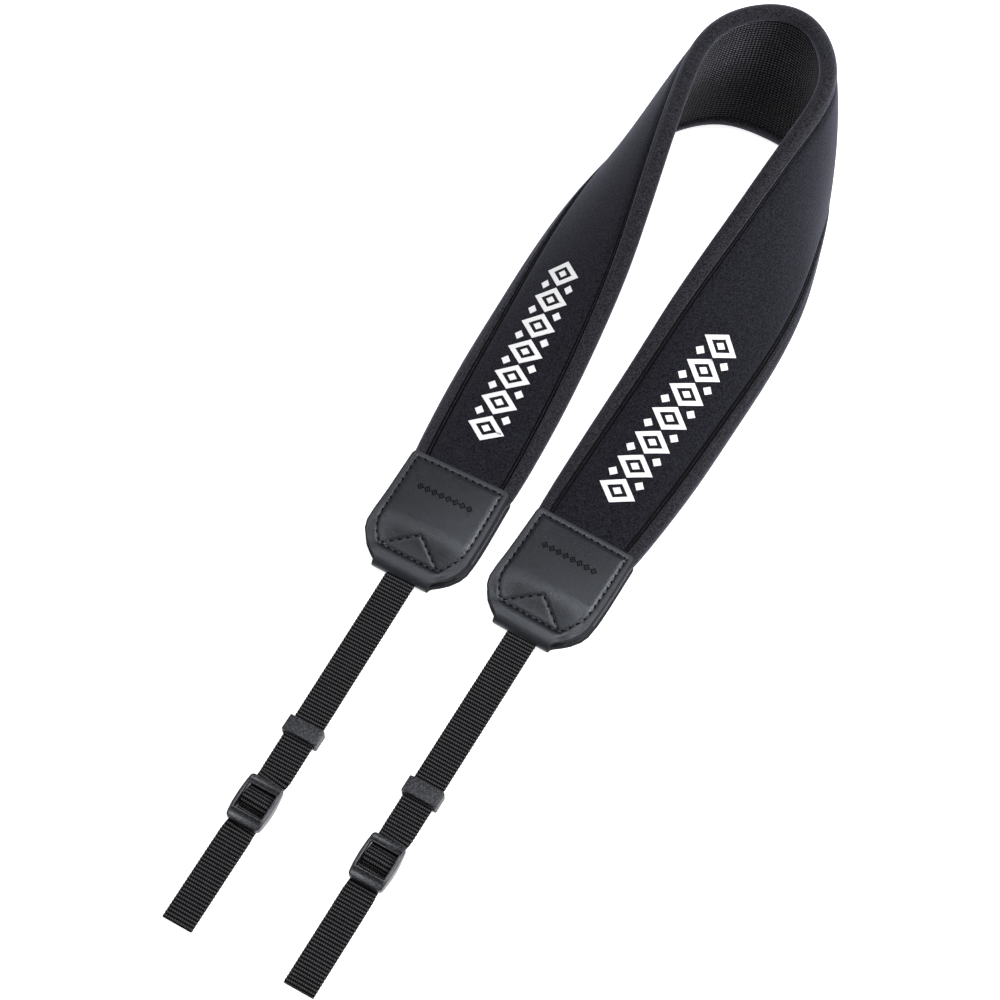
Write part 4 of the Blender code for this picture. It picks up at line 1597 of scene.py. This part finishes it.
def prism(name, outline, low, high):
    """A block with this outline (x, y) between two heights."""
    body = bmesh.new()
    face = body.faces.new([body.verts.new((x, y, low)) for x, y in outline])
    raised = bmesh.ops.extrude_face_region(body, geom=[face])["geom"]
    top = [item for item in raised if isinstance(item, bmesh.types.BMVert)]
    bmesh.ops.translate(body, verts=top, vec=(0, 0, high - low))
    bmesh.ops.recalc_face_normals(body, faces=body.faces)
    return written(body, bpy.data.meshes.new(name))


def rod(radius, length, y, z, sides):
    """A round bar along X."""
    body = bmesh.new()
    bmesh.ops.create_cone(
        body,
        cap_ends=True,
        segments=sides,
        radius1=radius,
        radius2=radius,
        depth=length,
        matrix=Matrix.Translation((0, y, z)) @ Matrix.Rotation(math.pi / 2, 4, "Y"),
    )
    return written(body, bpy.data.meshes.new("rod"))


# %% The buckle's outline and its cutters
TURN_ACROSS = Matrix((            # turns a prism's x and y into the buckle's y and z
    (0, 0, 1, 0),
    (1, 0, 0, 0),
    (0, 1, 0, 0),
    (0, 0, 0, 1),
))


def barrel():
    """The buckle seen from above: bowed sides and rounded corners."""
    half = BUCKLE_LENGTH / 2
    reach = 1 - BUCKLE_CORNER / half
    shares = np.linspace(-reach, reach, BOW_STEPS + 1)
    bowed = [(BUCKLE_WIDTH / 2 + BUCKLE_BULGE * (1 - s * s), s * half) for s in shares]
    centre_x, centre_y = bowed[-1][0] - BUCKLE_CORNER, half - BUCKLE_CORNER
    corner = [
        (centre_x + BUCKLE_CORNER * math.cos(turn), centre_y + BUCKLE_CORNER * math.sin(turn))
        for turn in np.linspace(0, math.pi / 2, CORNER_STEPS + 1)[1:]
    ]
    right = [(x, -y) for x, y in corner[::-1]] + bowed + corner
    return right + [(-x, -y) for x, y in right]


def under_rails():
    """The space under the arched rails, as a block that runs across the buckle."""
    half = BUCKLE_LENGTH / 2
    arch = [
        (s * half, RAIL_UNDERSIDE + RAIL_TILT * s + RAIL_ARCH * s * s)
        for s in np.linspace(-RAIL_PAST, RAIL_PAST, ARCH_STEPS + 1)
    ]
    outline = arch + [(arch[-1][0], -CUT_PAST), (arch[0][0], -CUT_PAST)]
    mesh = prism("under_rails", outline, -BUCKLE_WIDTH, BUCKLE_WIDTH)
    mesh.transform(TURN_ACROSS)
    return mesh


def hollow(bar_length, y):
    """The round bar that hollows the top of an end bar."""
    width = bar_length - 2 * TROUGH_RIM
    radius = (width * width / 4 + TROUGH_DEPTH**2) / (2 * TROUGH_DEPTH)
    length = BUCKLE_CLEAR + 2 * TROUGH_PAST
    return rod(radius, length, y, BUCKLE_TOP - TROUGH_DEPTH + radius, TROUGH_SIDES)


# %% Cut the buckle


def buckle_mesh():
    """The whole buckle about its own middle, standing on the table."""
    half = BUCKLE_LENGTH / 2
    clear = BUCKLE_CLEAR / 2
    window_top, window_bottom = half - UPPER_BAR, LOWER_BAR - half
    below, above = -CUT_PAST, BUCKLE_TOP + CUT_PAST
    mesh = bevelled(prism("buckle_block", barrel(), 0.0, BUCKLE_TOP), TOP_ROUNDING, 4, angle=60)
    mesh = combined(mesh, under_rails(), "DIFFERENCE")
    mesh = bevelled(mesh, UNDER_ROUNDING, 4, angle=60)
    window = block((-clear, window_bottom, below), (clear, window_top, above))
    upper_passage = block(
        (-clear, window_top - CUT_PAST, below),
        (clear, half + CUT_PAST, UPPER_BAR_UNDERSIDE),
    )
    lower_passage = block(
        (-clear, -half - CUT_PAST, below),
        (clear, window_bottom + CUT_PAST, LOWER_BAR_UNDERSIDE),
    )
    upper_trough = hollow(UPPER_BAR, half - UPPER_BAR / 2)
    lower_trough = hollow(LOWER_BAR, LOWER_BAR / 2 - half)
    for cutter in (window, upper_passage, lower_passage, upper_trough, lower_trough):
        mesh = combined(mesh, cutter, "DIFFERENCE")
    length = BUCKLE_CLEAR + 2 * CENTRE_BAR_BURIED
    bar = rod(CENTRE_BAR_RADIUS, length, CENTRE_BAR_SHIFT, CENTRE_BAR_HEIGHT, CENTRE_BAR_SIDES)
    mesh = combined(mesh, bar, "UNION")
    for vert in mesh.vertices:
        down = min(max((window_bottom - vert.co.y) / LOWER_BAR, 0.0), 1.0)
        raised = max(vert.co.z - LOWER_BAR_UNDERSIDE, 0.0) / (BUCKLE_TOP - LOWER_BAR_UNDERSIDE)
        vert.co.z -= LOWER_BAR_SLOPE * down * raised
    return bevelled(mesh, EDGE_BEVEL, 2, angle=40)


# %% Place both buckles
shared_buckle = buckle_mesh()
for side in SIDES:
    name = f"three_bar_buckle_{side.name}"
    mesh = shared_buckle.copy()
    mesh.transform(Matrix.Translation((webbing_x(side, side.buckle_y), side.buckle_y, 0.0)))
    piece = show(name, mesh, [buckle_plastic], sharp=35)
    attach(piece, "strap")
    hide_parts(f"buckle_{side.name}")
